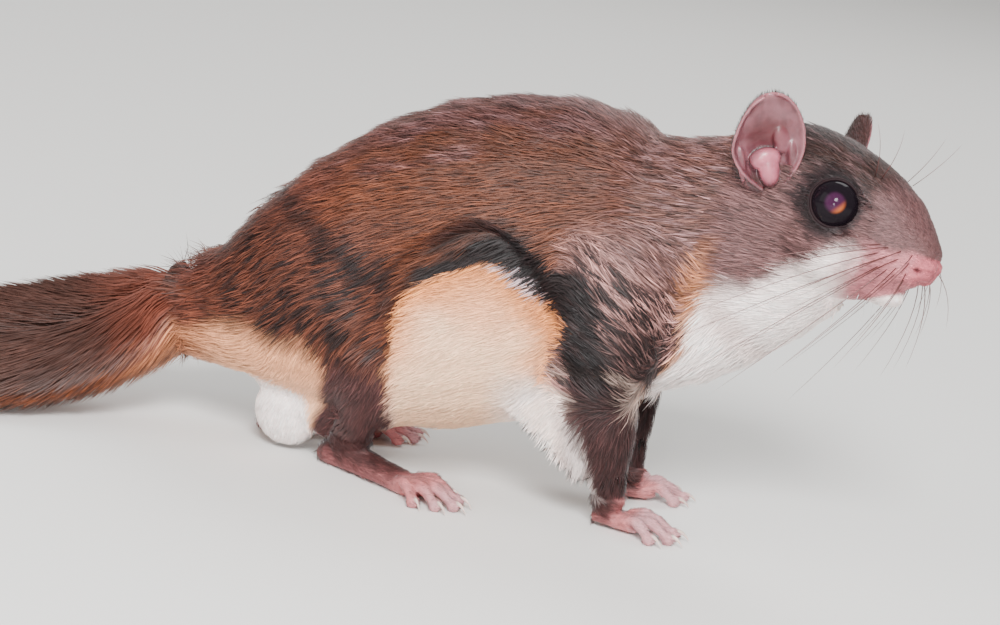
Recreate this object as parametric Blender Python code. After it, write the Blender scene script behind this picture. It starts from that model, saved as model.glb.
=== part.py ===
"""A southern flying squirrel at life size, standing on the floor in a low walking stance.

The body is modelled whole in millimetres from a few outlines, fused by a voxel remesh, and then
parted into its named pieces by thin cuts. X is forward, Y is the animal's left and Z is up.
The origin is on the floor, under the middle of the model.
"""
import math
import random

import bmesh
import bpy
from mathutils import Matrix, Vector

MM = 0.001
GAP = 0.3
SKIN_VOXEL = 0.6
SKIN_SMOOTH_ROUNDS = 4
FLESH_TRIANGLES = 6000
# Share of its triangles that each parted piece keeps: most on the face and the feet
KEPT_SHARE = {"head": 0.8, "muzzle": 0.8, "forefoot": 0.7, "hindfoot": 0.62}
KEPT_SHARE_ELSEWHERE = 0.56
RING_POINTS = 24
FULLNESS = 2.25

# Torso outlines: place along X, back, belly, half width, height of the widest line
TORSO = [
    (-47.5, 27.6, 9.4, 8.2, 18.4),
    (-43.0, 29.8, 12.0, 8.8, 20.9),
    (-38.0, 33.4, 11.2, 10.6, 22.0),
    (-32.0, 41.5, 10.6, 14.0, 25.0),
    (-24.0, 50.6, 10.0, 17.8, 28.0),
    (-14.0, 58.6, 8.4, 20.2, 30.0),
    (-3.0, 64.3, 7.0, 20.8, 31.0),
    (8.0, 67.3, 9.6, 20.8, 33.0),
    (18.0, 68.5, 13.2, 19.8, 36.0),
    (27.0, 67.4, 16.6, 17.8, 38.0),
    (34.0, 64.4, 19.0, 15.2, 40.0),
    (40.0, 59.0, 22.0, 12.0, 41.0),
]
# Neck: centre, half width, reach up to the nape, reach down to the throat
NECK_AXIS = Vector((27.0, -6.0, 15.0))
NECK = [
    ((31.0, 0.0, 43.0), 15.5, 22.0, 22.5),
    ((38.0, -1.2, 47.0), 14.6, 19.6, 23.0),
    ((45.0, -2.6, 50.6), 13.0, 17.2, 21.6),
    ((52.0, -4.2, 54.6), 12.0, 15.2, 19.6),
    ((59.0, -6.4, 57.6), 11.0, 12.5, 16.5),
]
# Head in its own axes, measured from the midpoint between the eyes
HEAD_PLACE = Vector((65.2, -8.8, 61.0))
HEAD_YAW, HEAD_PITCH, HEAD_ROLL = -26.0, 4.2, -7.5
HEAD = [
    (16.6, -3.2, -6.3, 1.7, -4.7),
    (15.8, -1.9, -7.4, 2.9, -4.8),
    (13.6, 0.6, -9.3, 4.4, -4.8),
    (10.4, 3.9, -11.8, 6.2, -4.5),
    (6.2, 6.6, -14.5, 8.2, -4.0),
    (1.5, 8.6, -16.2, 9.9, -3.2),
    (-4.0, 10.1, -17.0, 11.3, -2.5),
    (-10.0, 10.6, -16.6, 11.8, -2.0),
    (-16.0, 10.0, -14.0, 11.2, -2.0),
    (-21.0, 8.5, -12.5, 9.8, -2.0),
]
# Rounded masses of the face: centre, radii (each is made on both sides)
FACE_MASSES = [
    ((12.2, 2.6, -6.8), (3.7, 2.5, 2.6)),
    ((-1.0, 6.7, -8.0), (8.4, 4.4, 6.0)),
    ((-0.7, 6.1, -0.5), (5.6, 4.8, 5.2)),
]
CHIN = ((7.8, 0.0, -11.9), (5.2, 3.7, 2.5))
MUZZLE_CUT = 7.2
HEAD_CUT = -17.6
EYE_CENTRE = Vector((-0.4, 7.2, -0.7))
EYE_AXIS = Vector((0.42, 0.88, 0.14)).normalized()
EYE_RADIUS = 4.15
LID_RADIUS = 3.7
LID_THICKNESS = 0.7
NOSTRIL = ((15.9, 1.9, -4.9), (1.2, 0.45, 0.6))
MOUTH_LINE = [(14.9, 0.0, -8.1), (13.4, 2.6, -9.1), (10.6, 4.9, -10.8), (7.9, 6.5, -11.8)]
MOUTH_GROOVE = 0.4
# Ear: its notch on the side of the head, its tip, the way that it opens, and the width and depth of the cup
EAR_NOTCH = Vector((-11.8, 10.6, 0.9))
EAR_TIP = Vector((-13.9, 17.2, 12.4))
EAR_OPENING = Vector((0.62, 0.76, 0.10))
EAR_WIDTH, EAR_DEPTH, EAR_WALL = 12.2, 3.6, 1.15
EAR_WIDEST = 0.42
EAR_LEAN = 1.3
EAR_VOXEL, EAR_TRIANGLES = 0.34, 500
# Fleshy masses at the foot of the ear, in its own axes: centre, radii
EAR_MASSES = [
    ((0.6, 1.5, 3.4), (2.1, 1.7, 2.9)),
    ((4.2, 1.6, 2.2), (1.5, 1.4, 3.4)),
    ((0.0, -1.6, -0.6), (4.4, 3.2, 4.6)),
]

# Limbs: centre, half width across, half depth along; the first entries lie inside the torso
THIGH_RIGHT = [((-20.0, -7.5, 35.0), 10.0, 16.0), ((-14.5, -12.5, 31.0), 8.6, 13.0), ((-9.0, -16.0, 26.0), 5.8, 8.4)]
SHANK_RIGHT = [
    ((-7.6, -17.2, 24.0), 4.6, 5.4),
    ((-7.6, -15.6, 17.0), 3.7, 4.2),
    ((-8.6, -12.2, 10.5), 3.1, 3.6),
    ((-10.2, -8.6, 5.4), 2.8, 3.4),
]
UPPER_ARM_RIGHT = [((33.0, -9.0, 47.0), 8.0, 12.0), ((31.5, -12.8, 37.0), 6.6, 10.6), ((31.2, -15.2, 26.0), 5.0, 8.0)]
FOREARM_RIGHT = [
    ((31.2, -15.0, 24.0), 4.6, 7.4),
    ((32.3, -13.8, 17.0), 3.9, 5.4),
    ((33.6, -11.8, 11.0), 3.1, 3.7),
    ((34.5, -10.0, 5.0), 2.6, 2.8),
]
FAR_THIGH_SHIFT = -9.0
FAR_FORELEG_SHIFT = 0.6

# Feet: heel, ball of the foot, half width of the sole and its depth
HIND_FOOT_RIGHT = {"heel": (-13.4, -6.8), "ball": (2.4, -15.2), "half": 3.2, "top": 5.0}
HIND_FOOT_LEFT = {"heel": (-27.5, 6.2), "ball": (-12.0, 15.6), "half": 3.2, "top": 5.0}
FORE_FOOT_RIGHT = {"heel": (32.4, -8.6), "ball": (39.0, -9.4), "half": 2.9, "top": 3.8}
FORE_FOOT_LEFT = {"heel": (33.2, 9.6), "ball": (38.2, 13.2), "half": 2.9, "top": 3.8}
HIND_TOES = [(-1.0, 5.8), (-0.5, 8.6), (0.0, 9.4), (0.5, 8.8), (1.0, 6.8)]
FORE_TOES = [(-1.0, 5.4), (-0.36, 7.4), (0.36, 7.4), (1.0, 6.0)]
# Toes, from the outer one to the inner: place across the ball of the foot, and length
TOE_RADIUS, TOE_PAD_RADIUS = 1.1, 1.3
TOE_FAN = 24.0
# Sole of a foot: share of the way from the heel to the ball, share of the half width, height of the middle
HIND_SOLE = [(-0.12, 0.5, 1.5), (0.02, 0.72, 2.7), (0.25, 0.86, 2.9), (0.6, 0.92, 2.2), (1.0, 1.1, 1.75), (1.12, 0.8, 1.3)]
FORE_SOLE = [(-0.22, 0.6, 1.5), (0.1, 0.86, 2.2), (0.6, 1.0, 2.0), (1.05, 1.05, 1.7), (1.25, 0.7, 1.2)]
HEEL_AHEAD, HEEL_HEIGHT, HEEL_RADII = 0.6, 2.0, (2.7, 2.5, 2.4)
CLAW_LENGTH, CLAW_RADIUS = 2.7, 0.55
SOLE_SINK = 0.35

# Gliding membrane: its margin from the wrist over the flank to the ankle, with the reach from the midline
MEMBRANE_MARGIN = [
    (31.6, 11.6, 9.0),
    (28.0, 14.2, 15.8),
    (24.6, 16.2, 22.0),
    (23.0, 17.6, 28.0),
    (22.8, 19.0, 35.0),
    (17.0, 20.4, 42.5),
    (8.8, 21.0, 46.8),
    (1.4, 21.0, 43.0),
    (-3.8, 20.4, 36.0),
    (-4.6, 19.2, 27.0),
    (-5.2, 16.8, 17.0),
    (-7.0, 13.6, 9.6),
]
MEMBRANE_ROLL = (1.3, 2.1)
FLANK_STEP, FLANK_STEP_WIDTH = 2.3, 1.8
FLANK_LIP, FLANK_LIP_WIDTH = 0.9, 3.2
WEB = [((30.0, 11.5, 9.6), 1.3, 2.0), ((24.5, 12.6, 17.0), 1.5, 4.6), ((18.5, 13.0, 24.0), 1.8, 8.0), ((12.0, 12.0, 29.0), 3.0, 9.0)]
BAND_HALF = (4.2, 6.0)

POUCH = ((-22.4, -3.0, 7.5), (6.2, 5.6, 6.9))

# Boxes that part the legs from the body: reach along X, out from the midline, and up
FOREARM_REGION = ((22.0, 42.0), (8.6, 22.0), (7.7, 22.0))
UPPER_ARM_REGION = ((21.0, 43.0), (12.4, 24.0), (22.3, 47.0))
SHANK_REGION = ((-17.0, -1.0), (6.8, 22.0), (6.6, 20.4))
THIGH_REGION = ((-34.0, -2.0), (12.6, 24.0), (20.7, 47.0))
POUCH_REGION = ((-30.0, -9.4, -1.0), (-14.0, 3.4, 10.4))
# Boxes in a foot's own axes, from its heel: the hind one leaves the other leg's side free
FORE_FOOT_REGION = ((-6.0, -10.0, -1.0), (19.0, 10.0, 7.4))
HIND_FOOT_REACH, HIND_FOOT_OUTWARD, HIND_FOOT_INWARD, HIND_FOOT_TOP = (-3.8, 34.0), 10.0, 5.0, 6.3
HEAD_HALF, HEAD_BELOW, HEAD_ABOVE = 22.0, 21.0, 20.0
NECK_CUT = Vector((40.5, -1.6, 48.0))
NECK_HALF, NECK_REACH = (30.0, 25.0), 30.0

TAIL_ROOT = -42.8
# Tail: the line of its bones, the reach of its hair to the sides and up, and the roll of its flat
TAIL = [
    (TAIL_ROOT - GAP, -0.2, 20.9),
    (-50.0, -1.8, 17.0),
    (-58.0, -5.2, 13.2),
    (-66.0, -9.6, 10.6),
    (-76.0, -16.0, 8.4),
    (-90.0, -25.0, 5.8),
    (-105.0, -34.4, 3.9),
    (-119.0, -42.4, 3.0),
]
TAIL_LENGTH = sum((Vector(b) - Vector(a)).length for a, b in zip(TAIL, TAIL[1:]))
TAIL_SIDE_REACH = [8.6, 11.0, 12.8, 13.6, 14.0, 13.8, 12.4, 9.5]
TAIL_UP_REACH = [9.2, 8.6, 7.8, 6.6, 5.4, 4.6, 3.8, 2.8]
TAIL_ROLL = [-6.0, -20.0, -30.0, -32.0, -28.0, -16.0, -6.0, 0.0]
TAIL_END = 1.08
TAIL_CORE_SHARE, TAIL_ROOT_SHARE, TAIL_ROOT_FADE = 0.46, 0.96, 0.07
# Rows of locks round the tail: side and height of the root, then of the tip, as shares of the reach
LOCK_ROWS = [
    ((0.32, 0.16), (1.0, 0.06)),
    ((0.32, -0.16), (1.0, -0.06)),
    ((0.18, 0.36), (0.56, 0.92)),
    ((0.18, -0.36), (0.56, -0.92)),
]
LOCK_TIERS = 10
LOCK_SPAN = 0.15
LOCK_WIDTH, LOCK_THICKNESS = 7.4, 1.7

WHISKERS_A_SIDE = 9
WHISKER_LENGTH = 31.0
WHISKER_RADIUS = 0.27
WHISKER_SHAPE = [(0.0, 1.0), (0.3, 0.86), (0.65, 0.6), (1.0, 0.2)]
WHISKER_FIRST = Vector((12.8, 3.4, -5.0))
WHISKER_ROW_DROP, WHISKER_COLUMN_STEP = 1.7, (-1.9, 0.9)
WHISKER_SWEEP, WHISKER_RISE = (66.0, 20.0), (14.0, -17.0)
WHISKER_SAG = (-0.34, -0.20)

COLOURS = {
    "fur_brown": (0.33, 0.20, 0.13),
    "fur_grey": (0.36, 0.28, 0.25),
    "fur_dark": (0.10, 0.07, 0.06),
    "fur_white": (0.90, 0.87, 0.84),
    "bare_skin": (0.80, 0.52, 0.48),
    "eye": (0.012, 0.010, 0.012),
}


def clear_scene():
    for item in list(bpy.data.objects):
        bpy.data.objects.remove(item, do_unlink=True)


def material(name, roughness=0.75):
    found = bpy.data.materials.get(name)
    if found:
        return found
    made = bpy.data.materials.new(name)
    made.use_nodes = True
    shader = made.node_tree.nodes["Principled BSDF"]
    shader.inputs["Base Color"].default_value = (*COLOURS[name], 1.0)
    shader.inputs["Roughness"].default_value = roughness
    return made


def object_from(name, mesh_maker):
    """A new object whose mesh is filled by mesh_maker, in millimetres until the model is finished."""
    mesh = bpy.data.meshes.new(name)
    shape = bmesh.new()
    mesh_maker(shape)
    bmesh.ops.remove_doubles(shape, verts=shape.verts, dist=1e-5)
    bmesh.ops.recalc_face_normals(shape, faces=shape.faces)
    shape.to_mesh(mesh)
    shape.free()
    made = bpy.data.objects.new(name, mesh)
    bpy.context.scene.collection.objects.link(made)
    return made


def remove(*items):
    for item in items:
        mesh = item.data
        bpy.data.objects.remove(item, do_unlink=True)
        if mesh and mesh.users == 0:
            bpy.data.meshes.remove(mesh)


def bake_modifiers(item):
    """Applies an object's modifiers by taking its evaluated mesh."""
    bpy.context.view_layer.update()
    graph = bpy.context.evaluated_depsgraph_get()
    mesh = bpy.data.meshes.new_from_object(item.evaluated_get(graph))
    old = item.data
    item.modifiers.clear()
    item.data = mesh
    if old.users == 0:
        bpy.data.meshes.remove(old)
    return item


def ring(shape, centre, across, up, half, above, below, points=RING_POINTS, fullness=FULLNESS):
    """One closed ring of a loft: half its width, and its reach above and below the centre."""
    made = []
    for i in range(points):
        angle = 2 * math.pi * i / points
        c, s = math.cos(angle), math.sin(angle)
        side = math.copysign(abs(c) ** (2 / fullness), c)
        height = math.copysign(abs(s) ** (2 / fullness), s)
        reach = above if s > 0 else below
        made.append(shape.verts.new(centre + across * (half * side) + up * (reach * height)))
    return made


def close_rings(shape, rings):
    for first, second in zip(rings, rings[1:]):
        for i in range(len(first)):
            j = (i + 1) % len(first)
            shape.faces.new((first[i], first[j], second[j], second[i]))
    shape.faces.new(list(reversed(rings[0])))
    shape.faces.new(rings[-1])


def smooth_path(points, steps):
    """Points read from a Catmull-Rom curve through the given ones."""
    path = [Vector(p) for p in points]
    path = [2 * path[0] - path[1]] + path + [2 * path[-1] - path[-2]]
    made = []
    for k in range(1, len(path) - 2):
        a, b, c, d = path[k - 1 : k + 3]
        for step in range(steps):
            t = step / steps
            made.append(
                0.5 * (2 * b + (c - a) * t + (2 * a - 5 * b + 4 * c - d) * t * t + (3 * b - a - 3 * c + d) * t ** 3)
            )
    made.append(path[-2])
    return made


def blend_list(values, share):
    """The value at a share from 0 to 1 along a list of evenly spread values."""
    place = share * (len(values) - 1)
    k = min(int(place), len(values) - 2)
    return values[k] + (values[k + 1] - values[k]) * (place - k)


def frame_along(direction, upward=Vector((0, 0, 1))):
    forward = direction.normalized()
    across = upward.cross(forward).normalized()
    return forward, across, forward.cross(across).normalized()


def tube(name, points, halves, depths, upward=Vector((0, 0, 1)), count=14):
    """A loft along points, with half widths across the path and half depths in the other direction."""

    def fill(shape):
        rings = []
        for k, point in enumerate(points):
            ahead = points[min(k + 1, len(points) - 1)] - points[max(k - 1, 0)]
            _, across, up = frame_along(ahead, upward)
            rings.append(ring(shape, point, across, up, halves[k], depths[k], depths[k], count, 2.0))
        close_rings(shape, rings)

    return object_from(name, fill)


def limb(name, stations, mirror=False, shift=0.0):
    """A leg segment: half widths across the body, half depths along it, with rounded ends."""
    side = -1.0 if mirror else 1.0
    points = [Vector((p[0] + shift, p[1] * side, p[2])) for p, _, _ in stations]
    first, last = points[0] - points[1], points[-1] - points[-2]
    points = [points[0] + first.normalized() * stations[0][1] * 0.6] + points
    points.append(points[-1] + last.normalized() * stations[-1][1] * 0.6)
    across = [stations[0][1] * 0.5] + [s[1] for s in stations] + [stations[-1][1] * 0.5]
    depth = [stations[0][2] * 0.5] + [s[2] for s in stations] + [stations[-1][2] * 0.5]
    return tube(name, points, depth, across, Vector((0, 1, 0)))


def ellipsoid(name, centre, radii, place=Matrix.Identity(4), segments=18, rings=12):
    def fill(shape):
        bmesh.ops.create_uvsphere(shape, u_segments=segments, v_segments=rings, radius=1.0)
        bmesh.ops.scale(shape, vec=radii, verts=shape.verts)
        bmesh.ops.translate(shape, vec=centre, verts=shape.verts)
        shape.transform(place)

    return object_from(name, fill)


def block(name, place, low, high):
    """A box between two corners, in the axes of place."""

    def fill(shape):
        bmesh.ops.create_cube(shape, size=1.0)
        size = Vector(high) - Vector(low)
        bmesh.ops.scale(shape, vec=size, verts=shape.verts)
        bmesh.ops.translate(shape, vec=(Vector(high) + Vector(low)) / 2, verts=shape.verts)
        shape.transform(place)

    return object_from(name, fill)


def triangulate(mesh):
    shape = bmesh.new()
    shape.from_mesh(mesh)
    bmesh.ops.triangulate(shape, faces=shape.faces)
    shape.to_mesh(mesh)
    shape.free()


def thin(item, share):
    """Thins a parted piece, unless that would open its surface."""
    before = item.data.copy()
    modifier = item.modifiers.new("thin", "DECIMATE")
    modifier.ratio = share
    bake_modifiers(item)
    if open_edges(item.data):
        item.data = before
    return item


def open_edges(mesh):
    """How many edges of a mesh don't join exactly two faces."""
    shape = bmesh.new()
    shape.from_mesh(mesh)
    count = sum(1 for edge in shape.edges if len(edge.link_faces) != 2)
    faces = len(shape.faces)
    shape.free()
    return count if faces else 1


def boolean(item, operation, **settings):
    """Applies one Boolean, with the first of the two solvers that leaves a closed surface."""
    before = item.data.copy()
    for solver in ("EXACT", "MANIFOLD"):
        modifier = item.modifiers.new("boolean", "BOOLEAN")
        modifier.operation = operation
        modifier.solver = solver
        for name, value in settings.items():
            setattr(modifier, name, value)
        bake_modifiers(item)
        triangulate(item.data)
        changed = len(item.data.vertices) != len(before.vertices)
        if changed and open_edges(item.data) == 0:
            break
        if solver == "EXACT":
            item.data = before.copy()
    bpy.data.meshes.remove(before)


def combine(item, other, operation):
    """Joins, cuts or intersects a piece with another one, which is then removed."""
    boolean(item, operation, object=other)
    remove(other)
    return item


def union_all(item, others):
    """Fuses many closed pieces into one object with a single Boolean on a collection."""
    group = bpy.data.collections.new("pieces")
    bpy.context.scene.collection.children.link(group)
    for other in others:
        bpy.context.scene.collection.objects.unlink(other)
        group.objects.link(other)
    boolean(item, "UNION", operand_type="COLLECTION", collection=group)
    remove(*others)
    bpy.data.collections.remove(group)
    return item


def copy_of(item, name):
    made = item.copy()
    made.data = item.data.copy()
    made.name = name
    bpy.context.scene.collection.objects.link(made)
    return made


def grown(item, by):
    """A copy of a piece, larger all round, for cutting a neighbour clear of it."""
    made = copy_of(item, item.name + "_grown")
    made.data.update()
    normals = [v.normal.copy() for v in made.data.vertices]
    for vertex, normal in zip(made.data.vertices, normals):
        vertex.co += normal * by
    return made


def keep_largest(item):
    """Keeps the largest closed surface of a piece, and drops the scraps that a cut leaves."""
    shape = bmesh.new()
    shape.from_mesh(item.data)
    unseen, islands = set(shape.verts), []
    while unseen:
        stack = [unseen.pop()]
        island = set(stack)
        while stack:
            for edge in stack.pop().link_edges:
                for vertex in edge.verts:
                    if vertex in unseen:
                        unseen.discard(vertex)
                        island.add(vertex)
                        stack.append(vertex)
        islands.append(island)
    largest = max(islands, key=island_size)
    bmesh.ops.delete(shape, geom=[v for v in shape.verts if v not in largest], context="VERTS")
    shape.to_mesh(item.data)
    shape.free()
    return item


def island_size(island):
    low = Vector((min(v.co[k] for v in island) for k in range(3)))
    high = Vector((max(v.co[k] for v in island) for k in range(3)))
    return (high - low).length


def head_matrix():
    turn = (
        Matrix.Rotation(math.radians(HEAD_YAW), 4, "Z")
        @ Matrix.Rotation(math.radians(HEAD_PITCH), 4, "Y")
        @ Matrix.Rotation(math.radians(HEAD_ROLL), 4, "X")
    )
    return Matrix.Translation(HEAD_PLACE) @ turn


def torso_flesh():
    def fill(shape):
        rings = []
        for x, top, bottom, half, widest in TORSO:
            centre = Vector((x, 0.0, widest))
            rings.append(ring(shape, centre, Vector((0, 1, 0)), Vector((0, 0, 1)), half, top - widest, widest - bottom))
        close_rings(shape, rings)

    return object_from("torso_flesh", fill)


def neck_flesh():
    _, across, up = frame_along(NECK_AXIS)

    def fill(shape):
        rings = [ring(shape, Vector(c), across, up, half, above, below) for c, half, above, below in NECK]
        close_rings(shape, rings)

    return object_from("neck_flesh", fill)


def head_flesh(place):
    def fill(shape):
        rings = []
        for x, top, bottom, half, widest in HEAD:
            centre = Vector((x, 0.0, widest))
            rings.append(ring(shape, centre, Vector((0, 1, 0)), Vector((0, 0, 1)), half, top - widest, widest - bottom))
        close_rings(shape, rings)
        shape.transform(place)

    pieces = [object_from("head_flesh", fill), ellipsoid("chin", *CHIN, place)]
    for side in (1, -1):
        for k, (centre, radii) in enumerate(FACE_MASSES):
            placed = (centre[0], centre[1] * side, centre[2])
            pieces.append(ellipsoid(f"face_mass_{k}", placed, radii, place))
    return pieces


def foot_axes(foot):
    heel, ball = Vector((*foot["heel"], 0.0)), Vector((*foot["ball"], 0.0))
    forward = (ball - heel).normalized()
    return heel, ball, forward, Vector((0, 0, 1)).cross(forward)


def toe_paths(foot, toes, inner_side):
    """For each toe: the points of its line from the ball of the foot to the pad, and its direction."""
    _, ball, forward, left = foot_axes(foot)
    made = []
    for spread, length in toes:
        turn = Matrix.Rotation(math.radians(TOE_FAN * spread * inner_side), 3, "Z")
        ahead = turn @ forward
        start = ball + left * (foot["half"] * 0.78 * spread * inner_side) - forward * (1.2 * abs(spread))
        knuckle = start + ahead * (length * 0.45) + Vector((0, 0, 3.0))
        pad = start + ahead * length + Vector((0, 0, TOE_PAD_RADIUS - SOLE_SINK))
        made.append(([start - ahead * 1.6 + Vector((0, 0, 1.7)), start + Vector((0, 0, 2.0)), knuckle, pad], ahead))
    return made


def foot_flesh(name, foot, toes, inner_side, hind):
    """Sole, heel and toes. The soles reach a little under the floor line, where the floor then cuts them flat."""
    heel, ball, forward, _ = foot_axes(foot)
    top, half = foot["top"], foot["half"]
    length = (ball - heel).length
    marks = HIND_SOLE if hind else FORE_SOLE
    points = [heel + forward * (length * s) + Vector((0, 0, h - SOLE_SINK)) for s, _, h in marks]
    pieces = [tube(name + "_sole", points, [half * w for _, w, _ in marks], [h * top / 5.0 for _, _, h in marks])]
    if hind:
        knob = heel + forward * HEEL_AHEAD + Vector((0, 0, HEEL_HEIGHT))
        pieces.append(ellipsoid(name + "_heel", knob, HEEL_RADII))
    for k, (path, _) in enumerate(toe_paths(foot, toes, inner_side)):
        line = smooth_path(path, 3)
        radii = [TOE_RADIUS * (1.0 + 0.12 * math.sin(i * 2.1)) for i in range(len(line))]
        pieces.append(tube(f"{name}_toe_{k}", line, radii, radii, count=10))
        pieces.append(ellipsoid(f"{name}_pad_{k}", path[-1], (TOE_PAD_RADIUS,) * 3, segments=10, rings=8))
    return pieces


def claws(foot, toes, inner_side):
    """Curved, tapered claws, each with its root sunk in the end of its toe."""
    made = []
    for k, (path, ahead) in enumerate(toe_paths(foot, toes, inner_side)):
        root = path[-1] + Vector((0, 0, 0.35)) + ahead * 0.3
        line = []
        for step in range(4):
            t = step / 3
            drop = -1.25 * t * t + 0.5 * t
            line.append(root + ahead * (CLAW_LENGTH * t) + Vector((0, 0, drop)))
        radii = [CLAW_RADIUS * (1.0 - 0.86 * (step / 3) ** 1.5) for step in range(4)]
        made.append(tube(f"claw_{k}", line, radii, [r * 1.25 for r in radii], count=4))
    return made


def membrane_points(side):
    return [Vector((x, y * side, z)) for x, y, z in MEMBRANE_MARGIN]


def membrane_flesh(side):
    """The rolled margin of the membrane on the flank, and the web between the foreleg and the belly."""
    line = smooth_path(membrane_points(side), 3)
    across, deep = MEMBRANE_ROLL
    ends = [0.75 if k in (0, len(line) - 1) else 1.0 for k in range(len(line))]
    lifted = [p + Vector((0.0, -0.6 * side, 0.0)) for p in line]
    roll = tube("membrane_roll", lifted, [deep * e for e in ends], [across * e for e in ends], Vector((0, 1, 0)), 10)
    points = [Vector((c[0], c[1] * side, c[2])) for c, _, _ in WEB]
    web = tube("membrane_web", points, [w[2] for w in WEB], [w[1] for w in WEB], Vector((0, 1, 0)), 12)
    return [roll, web]


def margin_distance(x, z, outline):
    """Distance from a point on the flank to the membrane's margin: positive under the arch, negative outside it."""
    nearest, inside = 1e9, False
    for k in range(len(outline)):
        ax, az = outline[k]
        bx, bz = outline[(k + 1) % len(outline)]
        if (az > z) != (bz > z) and x < (bx - ax) * (z - az) / (bz - az) + ax:
            inside = not inside
        if k == len(outline) - 1:
            continue
        length = (bx - ax) ** 2 + (bz - az) ** 2
        t = max(0.0, min(1.0, ((x - ax) * (bx - ax) + (z - az) * (bz - az)) / length))
        nearest = min(nearest, math.hypot(x - ax - t * (bx - ax), z - az - t * (bz - az)))
    return nearest if inside else -nearest


def step_flank(flesh):
    """Sets the belly back under the membrane's margin, and lets the skin above it stand out as a lip."""
    outline = [(p.x, p.z) for p in smooth_path(membrane_points(1), 3)]
    normals = [vertex.normal.copy() for vertex in flesh.data.vertices]
    for vertex, normal in zip(flesh.data.vertices, normals):
        point = vertex.co
        if abs(point.y) < 6.0 or not -16.0 < point.x < 34.0 or not 7.0 < point.z < 54.0:
            continue
        distance = margin_distance(point.x, point.z, outline)
        facing = max(0.0, abs(normal.y) - 0.15) / 0.85
        if distance > 0:
            fade = 1.0 - 0.8 * min(1.0, max(0.0, (distance - 3.0) / 13.0))
            shift = -FLANK_STEP * min(1.0, distance / FLANK_STEP_WIDTH) * fade
        else:
            shift = FLANK_LIP * math.exp(-((distance / FLANK_LIP_WIDTH) ** 2))
        point.y += math.copysign(shift * facing, point.y)


def whole_flesh(place):
    """Every soft part fused into one skin by a voxel remesh, then thinned to the triangles that it needs."""
    pieces = [torso_flesh(), neck_flesh(), *head_flesh(place)]
    for side, shift in ((1.0, 0.0), (-1.0, FAR_THIGH_SHIFT)):
        pieces.append(limb("thigh", THIGH_RIGHT, side < 0, shift))
        pieces.append(limb("shank", SHANK_RIGHT, side < 0, shift * 1.65))
    for side, shift in ((1.0, 0.0), (-1.0, FAR_FORELEG_SHIFT)):
        pieces.append(limb("upper_arm", UPPER_ARM_RIGHT, side < 0, shift))
        pieces.append(limb("forearm", FOREARM_RIGHT, side < 0, shift))
    pieces += foot_flesh("hind_right", HIND_FOOT_RIGHT, HIND_TOES, -1, True)
    pieces += foot_flesh("hind_left", HIND_FOOT_LEFT, HIND_TOES, 1, True)
    pieces += foot_flesh("fore_right", FORE_FOOT_RIGHT, FORE_TOES, -1, False)
    pieces += foot_flesh("fore_left", FORE_FOOT_LEFT, FORE_TOES, 1, False)
    for side in (1, -1):
        pieces += membrane_flesh(side)
        pieces.append(eyelid(place, *eye_place(side)))
    pieces.append(ellipsoid("pouch", *POUCH))
    flesh = pieces[0]
    shape = bmesh.new()
    for piece in pieces:
        shape.from_mesh(piece.data)
    shape.to_mesh(flesh.data)
    shape.free()
    remove(*pieces[1:])
    flesh.name = "flesh"
    remesh = flesh.modifiers.new("fuse", "REMESH")
    remesh.mode = "VOXEL"
    remesh.voxel_size = SKIN_VOXEL
    bake_modifiers(flesh)
    step_flank(flesh)
    smooth = flesh.modifiers.new("soften", "SMOOTH")
    smooth.factor = 0.5
    smooth.iterations = SKIN_SMOOTH_ROUNDS
    bake_modifiers(flesh)
    thin = flesh.modifiers.new("thin", "DECIMATE")
    thin.ratio = FLESH_TRIANGLES / (2 * len(flesh.data.polygons))
    bake_modifiers(flesh)
    return flesh


def cut_out(flesh, name, place, low, high):
    """Parts a region from the flesh: returns the piece inside the box, and leaves the rest 0.3 mm clear of it."""
    margin = Vector((GAP, GAP, GAP))
    piece = copy_of(flesh, name)
    combine(piece, block("region", place, low, high), "INTERSECT")
    combine(flesh, block("region", place, Vector(low) - margin, Vector(high) + margin), "DIFFERENCE")
    return keep_largest(piece)


def axes_at(point, direction, side=Vector((0, 1, 0))):
    """A frame at a point with its Z along direction, for a region that starts at a cut there."""
    z = direction.normalized()
    x = z.cross(side).normalized()
    y = z.cross(x)
    turn = Matrix((x, y, z)).transposed().to_4x4()
    return Matrix.Translation(point) @ turn


def foot_place(foot):
    heel, _, forward, left = foot_axes(foot)
    return Matrix.Translation(heel) @ Matrix((forward, left, Vector((0, 0, 1)))).transposed().to_4x4()


def side_region(side, along, out, height):
    """A box on one flank, from its reach along X, outwards from the midline, and up."""
    low = (along[0], min(side * out[0], side * out[1]), height[0])
    high = (along[1], max(side * out[0], side * out[1]), height[1])
    return Matrix.Identity(4), low, high


def membrane_piece(flesh, side, name):
    """The band of skin along the membrane's margin, cut from the flesh as its own piece."""
    line = smooth_path(membrane_points(side), 2)[1:-1]
    wide, deep = BAND_HALF

    def band(grow):
        sizes = [wide + grow] * len(line)
        depths = [deep + grow] * len(line)
        return tube("band", line, sizes, depths, Vector((0, 1, 0)), 4)

    piece = copy_of(flesh, name)
    combine(piece, band(0.0), "INTERSECT")
    combine(flesh, band(GAP), "DIFFERENCE")
    return keep_largest(piece)


def eye_place(side):
    """Centre of an eyeball and the way that it looks, in the head's axes."""
    centre = Vector((EYE_CENTRE.x, EYE_CENTRE.y * side, EYE_CENTRE.z))
    return centre, Vector((EYE_AXIS.x, EYE_AXIS.y * side, EYE_AXIS.z)).normalized()


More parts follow.
